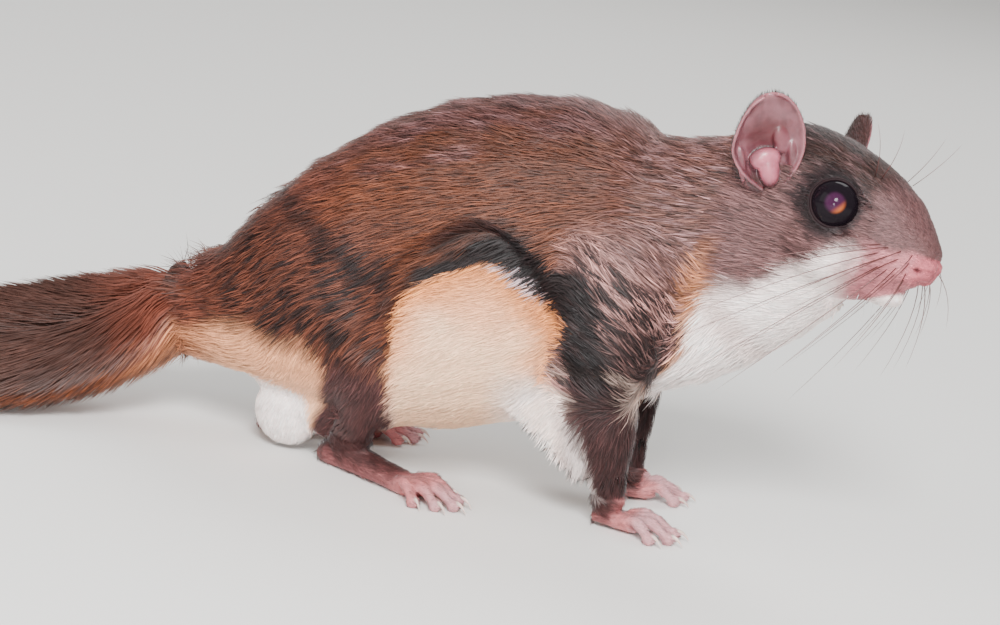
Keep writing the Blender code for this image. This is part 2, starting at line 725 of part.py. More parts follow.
def build_body(place):
    """The flesh, parted into its named pieces."""
    flesh = whole_flesh(place)
    for region in (((-200, -100, -20), (200, 100, 0)), ((-200, -100, -20), (TAIL_ROOT, 100, 100))):
        combine(flesh, block("region", Matrix.Identity(4), *region), "DIFFERENCE")
    made = {}
    for side, label in ((-1, "right"), (1, "left")):
        made["patagium_" + label] = membrane_piece(flesh, side, "patagium_" + label)
    for label, foot, side in (("right", FORE_FOOT_RIGHT, -1), ("left", FORE_FOOT_LEFT, 1)):
        name = "forefoot_" + label
        made[name] = cut_out(flesh, name, foot_place(foot), *FORE_FOOT_REGION)
        name = "forearm_" + label
        made[name] = cut_out(flesh, name, *side_region(side, *FOREARM_REGION))
        name = "upper_arm_" + label
        made[name] = cut_out(flesh, name, *side_region(side, *UPPER_ARM_REGION))
    for label, foot, side, shift in (("right", HIND_FOOT_RIGHT, -1, 0.0), ("left", HIND_FOOT_LEFT, 1, FAR_THIGH_SHIFT)):
        name = "hindfoot_" + label
        near, far = sorted((side * HIND_FOOT_OUTWARD, -side * HIND_FOOT_INWARD))
        low = (HIND_FOOT_REACH[0], near, -1.0)
        made[name] = cut_out(flesh, name, foot_place(foot), low, (HIND_FOOT_REACH[1], far, HIND_FOOT_TOP))
        name = "shank_" + label
        along = [place_x + shift * 1.5 for place_x in SHANK_REGION[0]]
        made[name] = cut_out(flesh, name, *side_region(side, along, *SHANK_REGION[1:]))
        name = "thigh_" + label
        along = [place_x + shift for place_x in THIGH_REGION[0]]
        made[name] = cut_out(flesh, name, *side_region(side, along, *THIGH_REGION[1:]))
    made["scrotum"] = cut_out(flesh, "scrotum", Matrix.Identity(4), *POUCH_REGION)
    low, high = (MUZZLE_CUT, -HEAD_HALF, -HEAD_BELOW), (HEAD_HALF, HEAD_HALF, HEAD_ABOVE)
    made["muzzle"] = cut_out(flesh, "muzzle", place, low, high)
    low, high = (HEAD_CUT, -HEAD_HALF, -HEAD_BELOW), (MUZZLE_CUT - GAP, HEAD_HALF, HEAD_ABOVE)
    made["head"] = cut_out(flesh, "head", place, low, high)
    low, high = (-NECK_HALF[0], -NECK_HALF[1], 0.0), (*NECK_HALF, NECK_REACH)
    made["neck"] = cut_out(flesh, "neck", axes_at(NECK_CUT, NECK_AXIS), low, high)
    flesh.name = "torso"
    made["torso"] = keep_largest(flesh)
    for name, piece in made.items():
        thin(piece, KEPT_SHARE.get(name.split("_")[0], KEPT_SHARE_ELSEWHERE))
    return made


def face_details(pieces, place):
    """Eyes, lids, nostrils and the line of the mouth, on both sides of the face."""
    eyes = {}
    for label, side in (("right", -1), ("left", 1)):
        centre, _ = eye_place(side)
        socket = ellipsoid("socket", centre, (EYE_RADIUS + GAP,) * 3, place, 24, 16)
        combine(pieces["head"], socket, "DIFFERENCE")
        eyes["eye_" + label] = ellipsoid("eye_" + label, centre, (EYE_RADIUS,) * 3, place, 14, 10)
        nostril_centre, radii = NOSTRIL
        hole = ellipsoid("nostril", (nostril_centre[0], nostril_centre[1] * side, nostril_centre[2]), radii, place, 10, 8)
        combine(pieces["muzzle"], hole, "DIFFERENCE")
    left = [Vector(p) for p in MOUTH_LINE]
    right = [Vector((p.x, -p.y, p.z)) for p in left]
    line = [place @ p for p in smooth_path([*reversed(left), *right[1:]], 3)]
    groove = tube("groove", line, [MOUTH_GROOVE] * len(line), [MOUTH_GROOVE * 2.2] * len(line), count=6)
    combine(pieces["muzzle"], groove, "DIFFERENCE")
    return eyes


def eyelid(place, centre, axis):
    """A raised rim round the eye, drawn out a little to its front corner."""
    forward = (Vector((1, 0, 0)) - axis * axis.x).normalized()
    up = axis.cross(forward)
    if up.z < 0:
        up = -up
    ahead_of_centre = math.sqrt(EYE_RADIUS ** 2 - LID_RADIUS ** 2)

    def fill(shape):
        rings = []
        count = 20
        for k in range(count):
            angle = 2 * math.pi * k / count
            corner = 1.0 + 0.13 * max(0.0, math.cos(angle + 0.5)) ** 6
            out = (forward * math.cos(angle) + up * math.sin(angle)).normalized()
            point = centre + axis * (ahead_of_centre + 0.1) + out * ((LID_RADIUS + 0.35) * corner)
            rings.append(
                [shape.verts.new(point + (out * math.cos(a) + axis * math.sin(a)) * LID_THICKNESS)
                 for a in (2 * math.pi * j / 6 for j in range(6))]
            )
        for k in range(count):
            first, second = rings[k], rings[(k + 1) % count]
            for j in range(6):
                shape.faces.new((first[j], first[(j + 1) % 6], second[(j + 1) % 6], second[j]))
        shape.transform(place)

    return object_from("lid", fill)


def ear_half_width(v):
    """Half the width of the ear's outline at a share of its height: narrow at the root and round at the tip."""
    if v > EAR_WIDEST:
        return EAR_WIDTH / 2 * max(0.0, 1.0 - ((v - EAR_WIDEST) / (1.0 - EAR_WIDEST)) ** 1.6) ** 0.46
    return EAR_WIDTH / 2 * (1.0 - 0.40 * ((EAR_WIDEST - v) / EAR_WIDEST) ** 2)


def ear_point(u, v, offset):
    """A point of the left ear in its own axes: u from the rear edge to the front one, v from root to tip."""
    angle = math.radians(74.0) * u
    round_out = math.sin(math.radians(74.0))
    height = (EAR_TIP - EAR_NOTCH).length
    radius = ear_half_width(v) / round_out + 0.001
    depth = EAR_DEPTH * (1.0 - 0.5 * v) * (1.0 - math.cos(angle))
    lean = EAR_LEAN * max(0.0, v - EAR_WIDEST) / (1.0 - EAR_WIDEST)
    outline = Vector((radius * math.sin(angle) + lean, depth, height * v))
    return outline + Vector((-math.sin(angle) * 0.8, 1.0, 0.0)).normalized() * offset


def ear_matrix():
    up = (EAR_TIP - EAR_NOTCH).normalized()
    opening = (EAR_OPENING - up * EAR_OPENING.dot(up)).normalized()
    across = opening.cross(up)
    return Matrix.Translation(EAR_NOTCH) @ Matrix((across, opening, up)).transposed().to_4x4()


def ear(name, place, side, head):
    """The cup of the ear as a curved wall, with the fold at its foot, cut clear of the head."""
    columns, rows = 16, 16
    placed = place @ Matrix.Diagonal((1, side, 1, 1)) @ ear_matrix()

    def fill(shape):
        walls = []
        for offset in (-EAR_WALL / 2, EAR_WALL / 2):
            walls.append(
                [[shape.verts.new(ear_point(-1 + 2 * j / columns, 0.985 * i / rows, offset)) for j in range(columns + 1)]
                 for i in range(rows + 1)]
            )
        outer, inner = walls
        for i in range(rows):
            for j in range(columns):
                quad(shape, outer[i][j], outer[i][j + 1], outer[i + 1][j + 1], outer[i + 1][j])
                quad(shape, inner[i][j], inner[i + 1][j], inner[i + 1][j + 1], inner[i][j + 1])
        for i in range(rows):
            for j in (0, columns):
                quad(shape, outer[i][j], outer[i + 1][j], inner[i + 1][j], inner[i][j])
        for j in range(columns):
            for i in (0, rows):
                quad(shape, outer[i][j], outer[i][j + 1], inner[i][j + 1], inner[i][j])
        shape.transform(placed)

    made = object_from(name, fill)
    pieces = [ellipsoid("mass", centre, radii, placed, 16, 12) for centre, radii in EAR_MASSES]
    shape = bmesh.new()
    for piece in (made, *pieces):
        shape.from_mesh(piece.data)
    shape.to_mesh(made.data)
    shape.free()
    remove(*pieces)
    remesh = made.modifiers.new("fuse", "REMESH")
    remesh.mode = "VOXEL"
    remesh.voxel_size = EAR_VOXEL
    bake_modifiers(made)
    thin = made.modifiers.new("thin", "DECIMATE")
    thin.ratio = EAR_TRIANGLES / (2 * len(made.data.polygons))
    bake_modifiers(made)
    combine(made, grown(head, GAP), "DIFFERENCE")
    return keep_largest(made)


def quad(shape, a, b, c, d):
    """Two triangles split alike on both faces of a thin wall."""
    shape.faces.new((a, b, c))
    shape.faces.new((a, c, d))


def tail_frame(share):
    """Place, direction, sideways and upward reach of the tail's coat at a share of its length."""
    path = smooth_path(TAIL, 6)
    place = min(share, 1.0) * (len(path) - 1)
    k = min(int(place), len(path) - 2)
    back = (path[min(k + 2, len(path) - 1)] - path[max(k - 1, 0)]).normalized()
    beyond = max(0.0, share - 1.0)
    point = path[k].lerp(path[k + 1], place - k) + back * (beyond * TAIL_LENGTH)
    side = back.cross(Vector((0, 0, 1))).normalized()
    up = side.cross(back).normalized()
    roll = Matrix.Rotation(math.radians(blend_list(TAIL_ROLL, min(share, 1.0))), 3, back)
    ending = math.sqrt(max(0.0, 1.0 - (beyond / (TAIL_END - 1.0)) ** 2)) if beyond else 1.0
    wide = blend_list(TAIL_SIDE_REACH, min(share, 1.0)) * (0.25 + 0.75 * ending)
    high = blend_list(TAIL_UP_REACH, min(share, 1.0)) * (0.4 + 0.6 * ending)
    return point, roll @ side * wide, roll @ up * high


def tail_point(share, side_share, up_share):
    point, side, up = tail_frame(share)
    return point + side * side_share + up * up_share


def tail_lock(share, row, mirror, rng):
    """One flat, tapered lock that leaves the tail at a low angle, bends back along it and ends on the outline."""
    (side_root, up_root), (side_tip, up_tip) = row
    reach = rng.uniform(0.94, 1.04)
    span = LOCK_SPAN * rng.uniform(0.92, 1.08)
    marks = []
    for step, out in ((0.0, 0.0), (0.5, 0.66), (1.0, 1.0)):
        side_share = (side_root + (side_tip * reach - side_root) * out) * mirror
        up_share = up_root + (up_tip * reach - up_root) * out
        marks.append(tail_point(min(share + span * step, TAIL_END), side_share, up_share))
    _, _, up = tail_frame(share)
    flat = up.normalized() * (1.0 if up_root > 0 else -1.0)

    def fill(shape):
        rings = []
        for k, (broad, thick) in enumerate(((0.8, 1.0), (1.0, 0.7))):
            along = (marks[k + 1] - marks[max(k - 1, 0)]).normalized()
            across = along.cross(flat).normalized() * (LOCK_WIDTH * broad / 2)
            normal = across.cross(along).normalized() * (LOCK_THICKNESS * thick / 2)
            centre = marks[k]
            corners = (centre - across, centre - normal, centre + across, centre + normal)
            rings.append([shape.verts.new(corner) for corner in corners])
        tip = shape.verts.new(marks[2])
        for k in range(4):
            j = (k + 1) % 4
            quad(shape, rings[0][k], rings[0][j], rings[1][j], rings[1][k])
            shape.faces.new((rings[1][k], rings[1][j], tip))
        quad(shape, *reversed(rings[0]))

    return object_from("lock", fill)


def build_tail():
    """A flat core that carries rows of flat locks, like a feather, widest half way along."""
    rng = random.Random(7)
    steps = 18

    def fill(shape):
        rings = []
        for k in range(steps + 1):
            share = (k / steps) ** 1.35
            point, side, up = tail_frame(share)
            swell = (TAIL_ROOT_SHARE - TAIL_CORE_SHARE) * math.exp(-((share / TAIL_ROOT_FADE) ** 2))
            wide, high = side.length * (TAIL_CORE_SHARE + swell), up.length * (TAIL_CORE_SHARE + swell)
            rings.append(ring(shape, point, side.normalized(), up.normalized(), wide, high, high, 10, 2.0))
        close_rings(shape, rings)

    core = object_from("tail", fill)
    locks = []
    for tier in range(LOCK_TIERS):
        for number, row in enumerate(LOCK_ROWS):
            share = -0.02 + (tier + 0.5 * (number % 2)) * 0.97 / (LOCK_TIERS - 1)
            if share > 1.0:
                continue
            for mirror in (1, -1):
                locks.append(tail_lock(max(share, 0.0), row, mirror, rng))
    for side_share in (-0.4, 0.0, 0.4):
        locks.append(tail_lock(0.95, ((side_share * 0.5, 0.05), (side_share, 0.0)), 1, rng))
    union_all(core, locks)
    floor = block("floor", Matrix.Identity(4), (-200, -100, -20), (200, 100, 0))
    combine(core, floor, "DIFFERENCE")
    return keep_largest(core)


def whiskers(place):
    """Long tapered whiskers in rows on both pads of the muzzle, swept out, back and down."""
    rng = random.Random(11)
    made = []
    for side in (1, -1):
        for k in range(WHISKERS_A_SIDE):
            row, column = k % 3, k // 3
            back, apart = WHISKER_COLUMN_STEP
            root = WHISKER_FIRST + Vector((back * column, apart * column, -WHISKER_ROW_DROP * row))
            root.y *= side
            sweep = math.radians(WHISKER_SWEEP[0] + WHISKER_SWEEP[1] * column + rng.uniform(-7, 7))
            rise = math.radians(WHISKER_RISE[0] + WHISKER_RISE[1] * row + rng.uniform(-5, 5))
            out = Vector((math.cos(sweep) * math.cos(rise), math.sin(sweep) * side * math.cos(rise), math.sin(rise)))
            length = WHISKER_LENGTH * (0.68 + 0.15 * column + rng.uniform(-0.05, 0.05))
            droop = Vector((WHISKER_SAG[0], 0.0, WHISKER_SAG[1])) * length
            line = [place @ (root + out * (length * t) + droop * t * t) for t, _ in WHISKER_SHAPE]
            radii = [WHISKER_RADIUS * share for _, share in WHISKER_SHAPE]
            made.append(tube(f"whisker_{k}", line, radii, radii, count=3))
    return made


def origin_shift(pieces):
    """The move that puts the origin on the floor, under the middle of the whole model."""
    points = [vertex.co for piece in pieces.values() for vertex in piece.data.vertices]
    low = [min(point[k] for point in points) for k in range(3)]
    high = [max(point[k] for point in points) for k in range(3)]
    return Vector((-(low[0] + high[0]) / 2, -(low[1] + high[1]) / 2, -low[2]))


def finish(pieces):
    """Turns millimetres into metres, sets the origin under the model, and gives each piece its material."""
    shift = origin_shift(pieces)
    kinds = {
        "head": "fur_grey", "muzzle": "bare_skin", "neck": "fur_grey", "torso": "fur_brown", "tail": "fur_brown",
        "scrotum": "fur_white", "ear": "bare_skin", "eye": "eye", "patagium": "fur_dark", "thigh": "fur_brown",
        "shank": "fur_grey", "upper": "fur_grey", "forearm": "fur_grey", "hindfoot": "bare_skin", "forefoot": "bare_skin",
    }
    for name, piece in pieces.items():
        piece.name = name
        piece.data.name = name
        piece.data.transform(Matrix.Scale(MM, 4) @ Matrix.Translation(shift))
        piece.data.materials.clear()
        kind = kinds[name.split("_")[0]]
        piece.data.materials.append(material(kind, 0.08 if kind == "eye" else 0.75))
        piece.data.shade_smooth()


def main():
    clear_scene()
    place = head_matrix()
    pieces = build_body(place)
    pieces.update(face_details(pieces, place))
    for label, side in (("right", -1), ("left", 1)):
        pieces["ear_" + label] = ear("ear_" + label, place, side, pieces["head"])
    feet = (
        ("hindfoot_right", HIND_FOOT_RIGHT, HIND_TOES, -1),
        ("hindfoot_left", HIND_FOOT_LEFT, HIND_TOES, 1),
        ("forefoot_right", FORE_FOOT_RIGHT, FORE_TOES, -1),
        ("forefoot_left", FORE_FOOT_LEFT, FORE_TOES, 1),
    )
    for name, foot, toes, inner_side in feet:
        union_all(pieces[name], claws(foot, toes, inner_side))
        floor = block("floor", Matrix.Identity(4), (-200, -100, -20), (200, 100, 0))
        keep_largest(combine(pieces[name], floor, "DIFFERENCE"))
    union_all(pieces["muzzle"], whiskers(place))
    keep_largest(pieces["muzzle"])
    keep_largest(pieces["head"])
    pieces["tail"] = build_tail()
    combine(pieces["tail"], grown(pieces["torso"], GAP), "DIFFERENCE")
    keep_largest(pieces["tail"])
    finish(pieces)


main()
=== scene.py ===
"""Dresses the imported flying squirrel: one skin with its coat of tufts, eyes, ears, claws and whiskers.

Shapes are worked out in millimetres in the animal's own axes, as its solids are: X is forward, Y its
left and Z up from the floor. Each finished mesh is then turned into metres in the frame's axes.
"""

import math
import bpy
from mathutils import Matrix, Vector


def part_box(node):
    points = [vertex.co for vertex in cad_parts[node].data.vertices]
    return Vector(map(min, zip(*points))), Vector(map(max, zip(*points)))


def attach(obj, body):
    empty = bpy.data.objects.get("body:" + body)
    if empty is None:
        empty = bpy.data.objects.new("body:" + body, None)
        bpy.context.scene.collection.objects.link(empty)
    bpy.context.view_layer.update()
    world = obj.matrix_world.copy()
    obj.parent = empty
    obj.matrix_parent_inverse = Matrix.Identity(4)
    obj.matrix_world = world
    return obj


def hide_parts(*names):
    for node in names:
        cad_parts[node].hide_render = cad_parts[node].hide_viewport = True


bl_info = {
    "name": "Flying squirrel",
    "version": (1, 0, 0),
    "blender": (4, 5, 0),
    "location": "View3D > Sidebar > Squirrel",
    "description": "Dresses the packed flying squirrel with skin, coat, eyes, ears, claws and whiskers",
    "category": "Object",
}

import bmesh
import bpy
import numpy as np
from mathutils import Matrix, Vector, kdtree

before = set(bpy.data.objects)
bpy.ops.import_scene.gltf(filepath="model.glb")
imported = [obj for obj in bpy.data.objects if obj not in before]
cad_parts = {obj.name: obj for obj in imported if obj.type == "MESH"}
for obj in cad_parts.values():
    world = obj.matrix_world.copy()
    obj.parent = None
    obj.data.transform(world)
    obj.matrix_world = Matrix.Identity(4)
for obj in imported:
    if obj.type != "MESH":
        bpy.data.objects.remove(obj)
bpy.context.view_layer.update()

MM = 0.001
BODY = "root"

# Head in its own axes, measured from between the eyes: place along X, top, bottom, half width, widest height
HEAD_PLACE = Vector((65.2, -8.8, 61.0))
HEAD_YAW, HEAD_PITCH, HEAD_ROLL = -26.0, 4.2, -7.5
HEAD = [
    (16.6, -3.2, -6.3, 1.7, -4.7),
    (15.8, -1.9, -7.4, 2.9, -4.8),
    (13.6, 0.6, -9.3, 4.4, -4.8),
    (10.4, 3.9, -11.8, 6.2, -4.5),
    (6.2, 6.6, -14.5, 8.2, -4.0),
    (1.5, 8.6, -16.2, 9.9, -3.2),
    (-4.0, 10.1, -17.0, 11.3, -2.5),
    (-10.0, 10.6, -16.6, 11.8, -2.0),
    (-16.0, 10.0, -14.0, 11.2, -2.0),
    (-21.0, 8.5, -12.5, 9.8, -2.0),
]
FACE_MASSES = [
    ((12.2, 2.6, -6.8), (3.7, 2.5, 2.6)),
    ((-1.0, 6.7, -8.0), (8.4, 4.4, 6.0)),
    ((-0.7, 6.1, -0.5), (5.6, 4.8, 5.2)),
]
CHIN = ((7.8, 0.0, -11.9), (5.2, 3.7, 2.5))
# Neck: centre, half width, reach up to the nape, reach down to the throat
NECK_AXIS = Vector((27.0, -6.0, 15.0)).normalized()
NECK = [
    ((31.0, 0.0, 43.0), 15.5, 22.0, 22.5),
    ((38.0, -1.2, 47.0), 14.6, 19.6, 23.0),
    ((45.0, -2.6, 50.6), 13.0, 17.2, 21.6),
    ((52.0, -4.2, 54.6), 12.0, 15.2, 19.6),
    ((59.0, -6.4, 57.6), 11.0, 12.5, 16.5),
]
EYE_CENTRE = Vector((-0.4, 7.2, -0.7))
EYE_AXIS = Vector((0.42, 0.88, 0.14)).normalized()
EYE_RADIUS = 4.15
# Orange at the lower edge of the painted eyeshine in the eye, a painted reflection of light
EYESHINE_EDGE = (0.42, 0.10, 0.02)
LID_RADIUS = 3.7
# The lids' opening, in degrees from the eye's axis, with how much wider it is at its corners
LID_OPENING = math.degrees(math.asin(LID_RADIUS / EYE_RADIUS))
LID_CORNER_REACH = 9.0
LID_CORNER, RIM_CORNER = (0.97, 0.0, -0.24), (1.0, 0.0, -0.25)
NOSTRIL = Vector((14.6, 2.9, -6.3))
NOSE_CREASE = [(12.6, 4.4, -6.0), (14.2, 3.2, -4.9), (15.8, 1.6, -4.2), (16.4, 0.0, -4.0)]
NOSE_PAD = (15.4, 0.0, -6.0)
NOSE_CLEFT = [(16.9, 0.0, -4.2), (16.2, 0.0, -6.8), (15.0, 0.0, -8.4)]
MOUTH_LINE = [(14.9, 0.0, -8.1), (13.4, 2.6, -9.1), (10.6, 4.9, -10.8), (7.9, 6.5, -11.8)]
# Ear: its notch and tip, the way it opens, its size, and the angle that its cup curls round to each side
EAR_NOTCH = Vector((-11.8, 10.6, 0.9))
EAR_TIP = Vector((-13.9, 17.2, 12.4))
EAR_OPENING = Vector((0.62, 0.76, 0.10))
EAR_WIDTH, EAR_DEPTH, EAR_WIDEST, EAR_LEAN = 12.2, 3.6, 0.42, 1.3
EAR_CURL = math.radians(74.0)
EAR_WALL, EAR_VOXEL = 0.55, 0.18
EAR_MASSES = [
    ((-0.6, 1.7, 3.0), (2.6, 1.5, 1.9)),
    ((-0.2, 1.9, 1.0), (1.7, 1.9, 3.0)),
    ((4.0, 1.2, 1.6), (0.9, 0.8, 3.4)),
    ((-4.3, 1.3, 2.4), (0.7, 0.7, 3.2)),
    ((2.6, 0.5, 5.2), (1.5, 0.8, 2.6)),
    ((0.0, -1.4, -1.6), (4.4, 3.2, 4.2)),
]

# Legs below the elbow and the knee, on the right side: centre, half width across, half depth along
SHANK = [((-8.6, -12.2, 10.5), 3.1, 3.6), ((-10.2, -8.6, 5.4), 2.8, 3.4), ((-11.4, -7.6, 3.4), 2.6, 3.0)]
FOREARM = [((33.6, -11.8, 11.0), 3.1, 3.7), ((34.5, -10.0, 5.0), 2.6, 2.8), ((34.3, -9.4, 3.2), 2.4, 2.6)]
FAR_SHANK_SHIFT, FAR_FORELEG_SHIFT = -14.85, 0.6
HIND_FOOT_RIGHT = {"heel": (-13.4, -6.8), "ball": (2.4, -15.2), "half": 3.2, "top": 5.0}
HIND_FOOT_LEFT = {"heel": (-27.5, 6.2), "ball": (-12.0, 15.6), "half": 3.2, "top": 5.0}
FORE_FOOT_RIGHT = {"heel": (32.4, -8.6), "ball": (39.0, -9.4), "half": 2.9, "top": 3.8}
FORE_FOOT_LEFT = {"heel": (33.2, 9.6), "ball": (38.2, 13.2), "half": 2.9, "top": 3.8}
# Toes: place across the foot, from its inner side to its outer one, and length
HIND_TOES = [(-1.0, 5.8), (-0.5, 8.6), (0.0, 9.4), (0.5, 8.8), (1.0, 6.8)]
FORE_TOES = [(-1.0, 5.4), (-0.36, 7.4), (0.36, 7.4), (1.0, 6.0)]
FEET = [
    ("hindfoot_right", HIND_FOOT_RIGHT, HIND_TOES, -1),
    ("hindfoot_left", HIND_FOOT_LEFT, HIND_TOES, 1),
    ("forefoot_right", FORE_FOOT_RIGHT, FORE_TOES, -1),
    ("forefoot_left", FORE_FOOT_LEFT, FORE_TOES, 1),
]
# Soles: place from heel to ball, width as a share of the foot's, and height
SOLES = {
    "hindfoot": [
        (-0.12, 0.5, 1.5), (0.02, 0.72, 2.7), (0.25, 0.86, 2.9),
        (0.6, 0.92, 2.2), (1.0, 1.1, 1.75), (1.12, 0.8, 1.3),
    ],
    "forefoot": [(-0.02, 0.7, 1.6), (0.2, 0.86, 2.2), (0.6, 1.0, 2.0), (1.05, 1.05, 1.7), (1.25, 0.7, 1.2)],
}
# Balls that fill the heel and the ankle: place ahead of the heel, height and radii
HEEL_BALLS = {
    "hindfoot": [(0.6, 2.0, (2.7, 2.5, 2.4)), (3.6, 4.3, (3.2, 2.5, 2.3))],
    "forefoot": [],
}
TOE_RADIUS, TOE_PAD_RADIUS = 1.05, 1.3
TOE_FAN = 24.0
CLAW_LENGTH, CLAW_RADIUS, CLAW_STEPS = 2.4, 0.35, 8
CLAW_RISE, CLAW_DROP, CLAW_LIFT = 0.75, 1.95, 0.02
SOLE_SINK = 0.35
WHISKER_STEPS, WHISKER_SIDES = 8, 5
# Thickness of the chin's short whiskers, as a share of the long ones', and their pale shade
CHIN_WHISKER, PALE_WHISKER = 0.55, (0.6, 0.6, 0.6)

# Border of the belly under the gliding membrane, from the wrist over the flank to the ankle
ARCH_BORDER = [
    (31.6, 11.6, 9.0),
    (28.3, 13.5, 16.4),
    (25.9, 15.0, 21.3),
    (23.0, 16.6, 25.8),
    (24.1, 17.6, 29.9),
    (24.3, 18.4, 33.1),
    (23.1, 19.0, 35.8),
    (20.2, 19.8, 38.7),
    (16.6, 20.4, 41.1),
    (13.4, 20.8, 42.9),
    (9.8, 21.0, 43.1),
    (6.0, 21.0, 41.3),
    (2.3, 21.0, 38.7),
    (-0.7, 20.8, 36.7),
    (-2.9, 20.4, 34.0),
    (-3.8, 19.0, 26.0),
    (-4.2, 16.0, 16.1),
    (-6.0, 13.6, 9.3),
]
# Middle of the scrotum
POUCH = Vector((-22.4, -3.0, 7.5))
# Flesh of the inner thigh, between the scrotum and the near shank: centre and radii
INNER_THIGH = ((-15.6, -5.8, 10.2), (5.6, 4.6, 6.2))

# Tail: the line of its bones, the reach of its hair to the sides and up, and the roll of its flat
TAIL = [
    (-43.1, -0.2, 20.9),
    (-50.0, -1.8, 17.0),
    (-58.0, -5.2, 13.2),
    (-66.0, -9.6, 10.6),
    (-76.0, -16.0, 8.4),
    (-90.0, -25.0, 5.8),
    (-105.0, -34.4, 3.9),
    (-119.0, -42.4, 3.0),
]
TAIL_SIDE_REACH = [8.6, 11.0, 12.8, 13.6, 14.0, 13.8, 12.4, 9.5]
TAIL_UP_REACH = [9.2, 8.6, 7.8, 6.6, 5.4, 4.6, 3.8, 2.8]
TAIL_ROLL = [-6.0, -20.0, -30.0, -32.0, -28.0, -16.0, -6.0, 0.0]
TAIL_CORE_SHARE = 0.42

# Camera of the photograph, in degrees and millimetres
CAMERA_AZIMUTH, CAMERA_ELEVATION, CAMERA_ROLL = 8.0, 12.0, 10.0
CAMERA_TARGET = Vector((10.0, 0.0, 30.0))
CAMERA_DISTANCE = 466.7
CAMERA_LENS, CAMERA_SENSOR = 100.0, 36.0

FLESH_NODES = ["torso", "neck", "scrotum", "patagium_right", "patagium_left"] + [
    f"{limb}_{side}" for limb in ("upper_arm", "forearm", "thigh", "shank") for side in ("right", "left")
]
REBUILT_NODES = ["head", "muzzle", "tail"] + [name for name, _, _, _ in FEET]


def linear(red, green, blue):
    """A colour given as it shows on a screen, from 0 to 255, as linear light."""
    return tuple((v / 255) ** 2.2 for v in (red, green, blue))


SHADES = {
    "back": linear(88, 50, 35),
    # Painted highlight: a greyer lilac for the up-facing fur and a light shade for streaks of sheen on the
    # coat
    "crest": linear(90, 58, 56),
    "sheen": linear(148, 112, 114),
    "flank": linear(105, 57, 35),
    "rump": linear(100, 54, 42),
    "thigh": linear(86, 47, 34),
    "dark": linear(22, 13, 15),
    "shoulder": linear(168, 122, 116),
    "neck": linear(108, 73, 66),
    "peach": linear(240, 166, 122),
    "orange": linear(216, 130, 70),
    "cream": linear(255, 202, 164),
    "white": linear(255, 236, 231),
    "fringe": linear(206, 184, 192),
    "leg": linear(74, 46, 45),
    "crown": linear(58, 38, 34),
    "bridge": linear(96, 66, 66),
    "temple": linear(108, 76, 75),
    "eye_ring": linear(27, 18, 21),
    "muzzle": linear(178, 110, 115),
    "nose": linear(176, 92, 100),
    "foot": linear(184, 112, 112),
    "ear_cup": linear(106, 66, 72),
    # Dark red painted shade for the ear's hollow and the nostrils, also laid as a random mottle on the ear
    "ear_hollow": linear(76, 31, 35),
    "ear_lump": linear(164, 92, 106),
    "ear_rim": linear(150, 96, 103),
    "ear_back": linear(70, 46, 46),
    "tail_top": linear(62, 40, 34),
    "tail_fringe": linear(140, 76, 46),
}
# Lines where the markings change: height against place along the body, or the other way round
NECK_BORDER = [
    (15.0, 36.0), (22.8, 37.9), (28.9, 40.0), (34.5, 43.1),
    (40.3, 43.9), (45.8, 46.2), (52.0, 48.5), (60.0, 60.0),
]
CHEEK_BORDER = [(-18.0, -21.0), (-8.0, -16.5), (-1.8, -10.8), (2.7, -7.0), (8.0, -5.6), (16.0, -8.5)]
REAR_BORDER = [
    (-44.0, 17.5), (-38.0, 18.5), (-31.0, 21.5), (-24.0, 22.5), (-19.0, 23.0), (-14.0, 19.5), (-10.0, 13.0),
]
THIGH_LINE = [(-27.0, 0.0, 46.0), (-20.0, 0.0, 42.5), (-12.0, 0.0, 38.5), (-6.0, 0.0, 36.0)]
BLACK_LINE = [
    (-2.0, 0.0, 36.4), (1.0, 0.0, 38.4), (4.0, 0.0, 40.3), (7.6, 0.0, 43.0), (10.0, 0.0, 44.4),
    (13.4, 0.0, 44.4), (17.0, 0.0, 42.8), (20.6, 0.0, 40.6), (24.2, 0.0, 37.9), (26.8, 0.0, 34.4),
    (27.6, 0.0, 30.4), (29.4, 0.0, 26.4), (32.0, 0.0, 22.0), (34.0, 0.0, 17.0),
]
# Half width of the black line at places along the body
BLACK_WIDTH = [(-2.0, 0.9), (4.0, 1.7), (10.0, 2.3), (20.0, 2.7), (25.0, 3.3), (28.0, 4.2), (34.0, 3.0)]
ELBOW = (36.5, 0.0, 28.5)

# The way that the hair lies on parts of the body
FLANK_LIE = (-0.80, 0.0, -0.60)
BACK_LIE = (-1.0, 0.0, -0.12)
NECK_LIE = (-0.96, 0.10, -0.15)
SHOULDER_LIE = (-0.80, 0.0, 0.58)
CHEST_LIE = (-0.62, 0.0, -0.78)
BELLY_LIE = (-0.88, 0.0, -0.42)
WEB_LIE = (-0.45, 0.0, -0.90)
THIGH_LIE = (-0.35, 0.0, -0.94)
RUMP_LIE = (-0.95, 0.0, -0.20)
POUCH_LIE = (-0.3, 0.0, -0.95)

# Layers of the coat: name, setting that holds its count, seed, bends, share of the full length, tufts a piece
COAT_LAYERS = [
    ("under_coat", "under_tufts", 5, 1, 0.85, 37500),
    ("top_coat", "top_tufts", 6, 2, 1.0, 13500),
]
TAIL_TUFTS_A_PIECE = 10000
EAR_TUFTS = 3200
# A blade narrows to its tip, carries a low ridge and takes most of its shading from the skin below it
BLADE_TAPER, BLADE_RIDGE, BLADE_ROUNDING = 0.32, 0.8, 0.55
# Width of a blade's own patch on the unwrap, which is twice as high
BLADE_PATCH = 0.0015

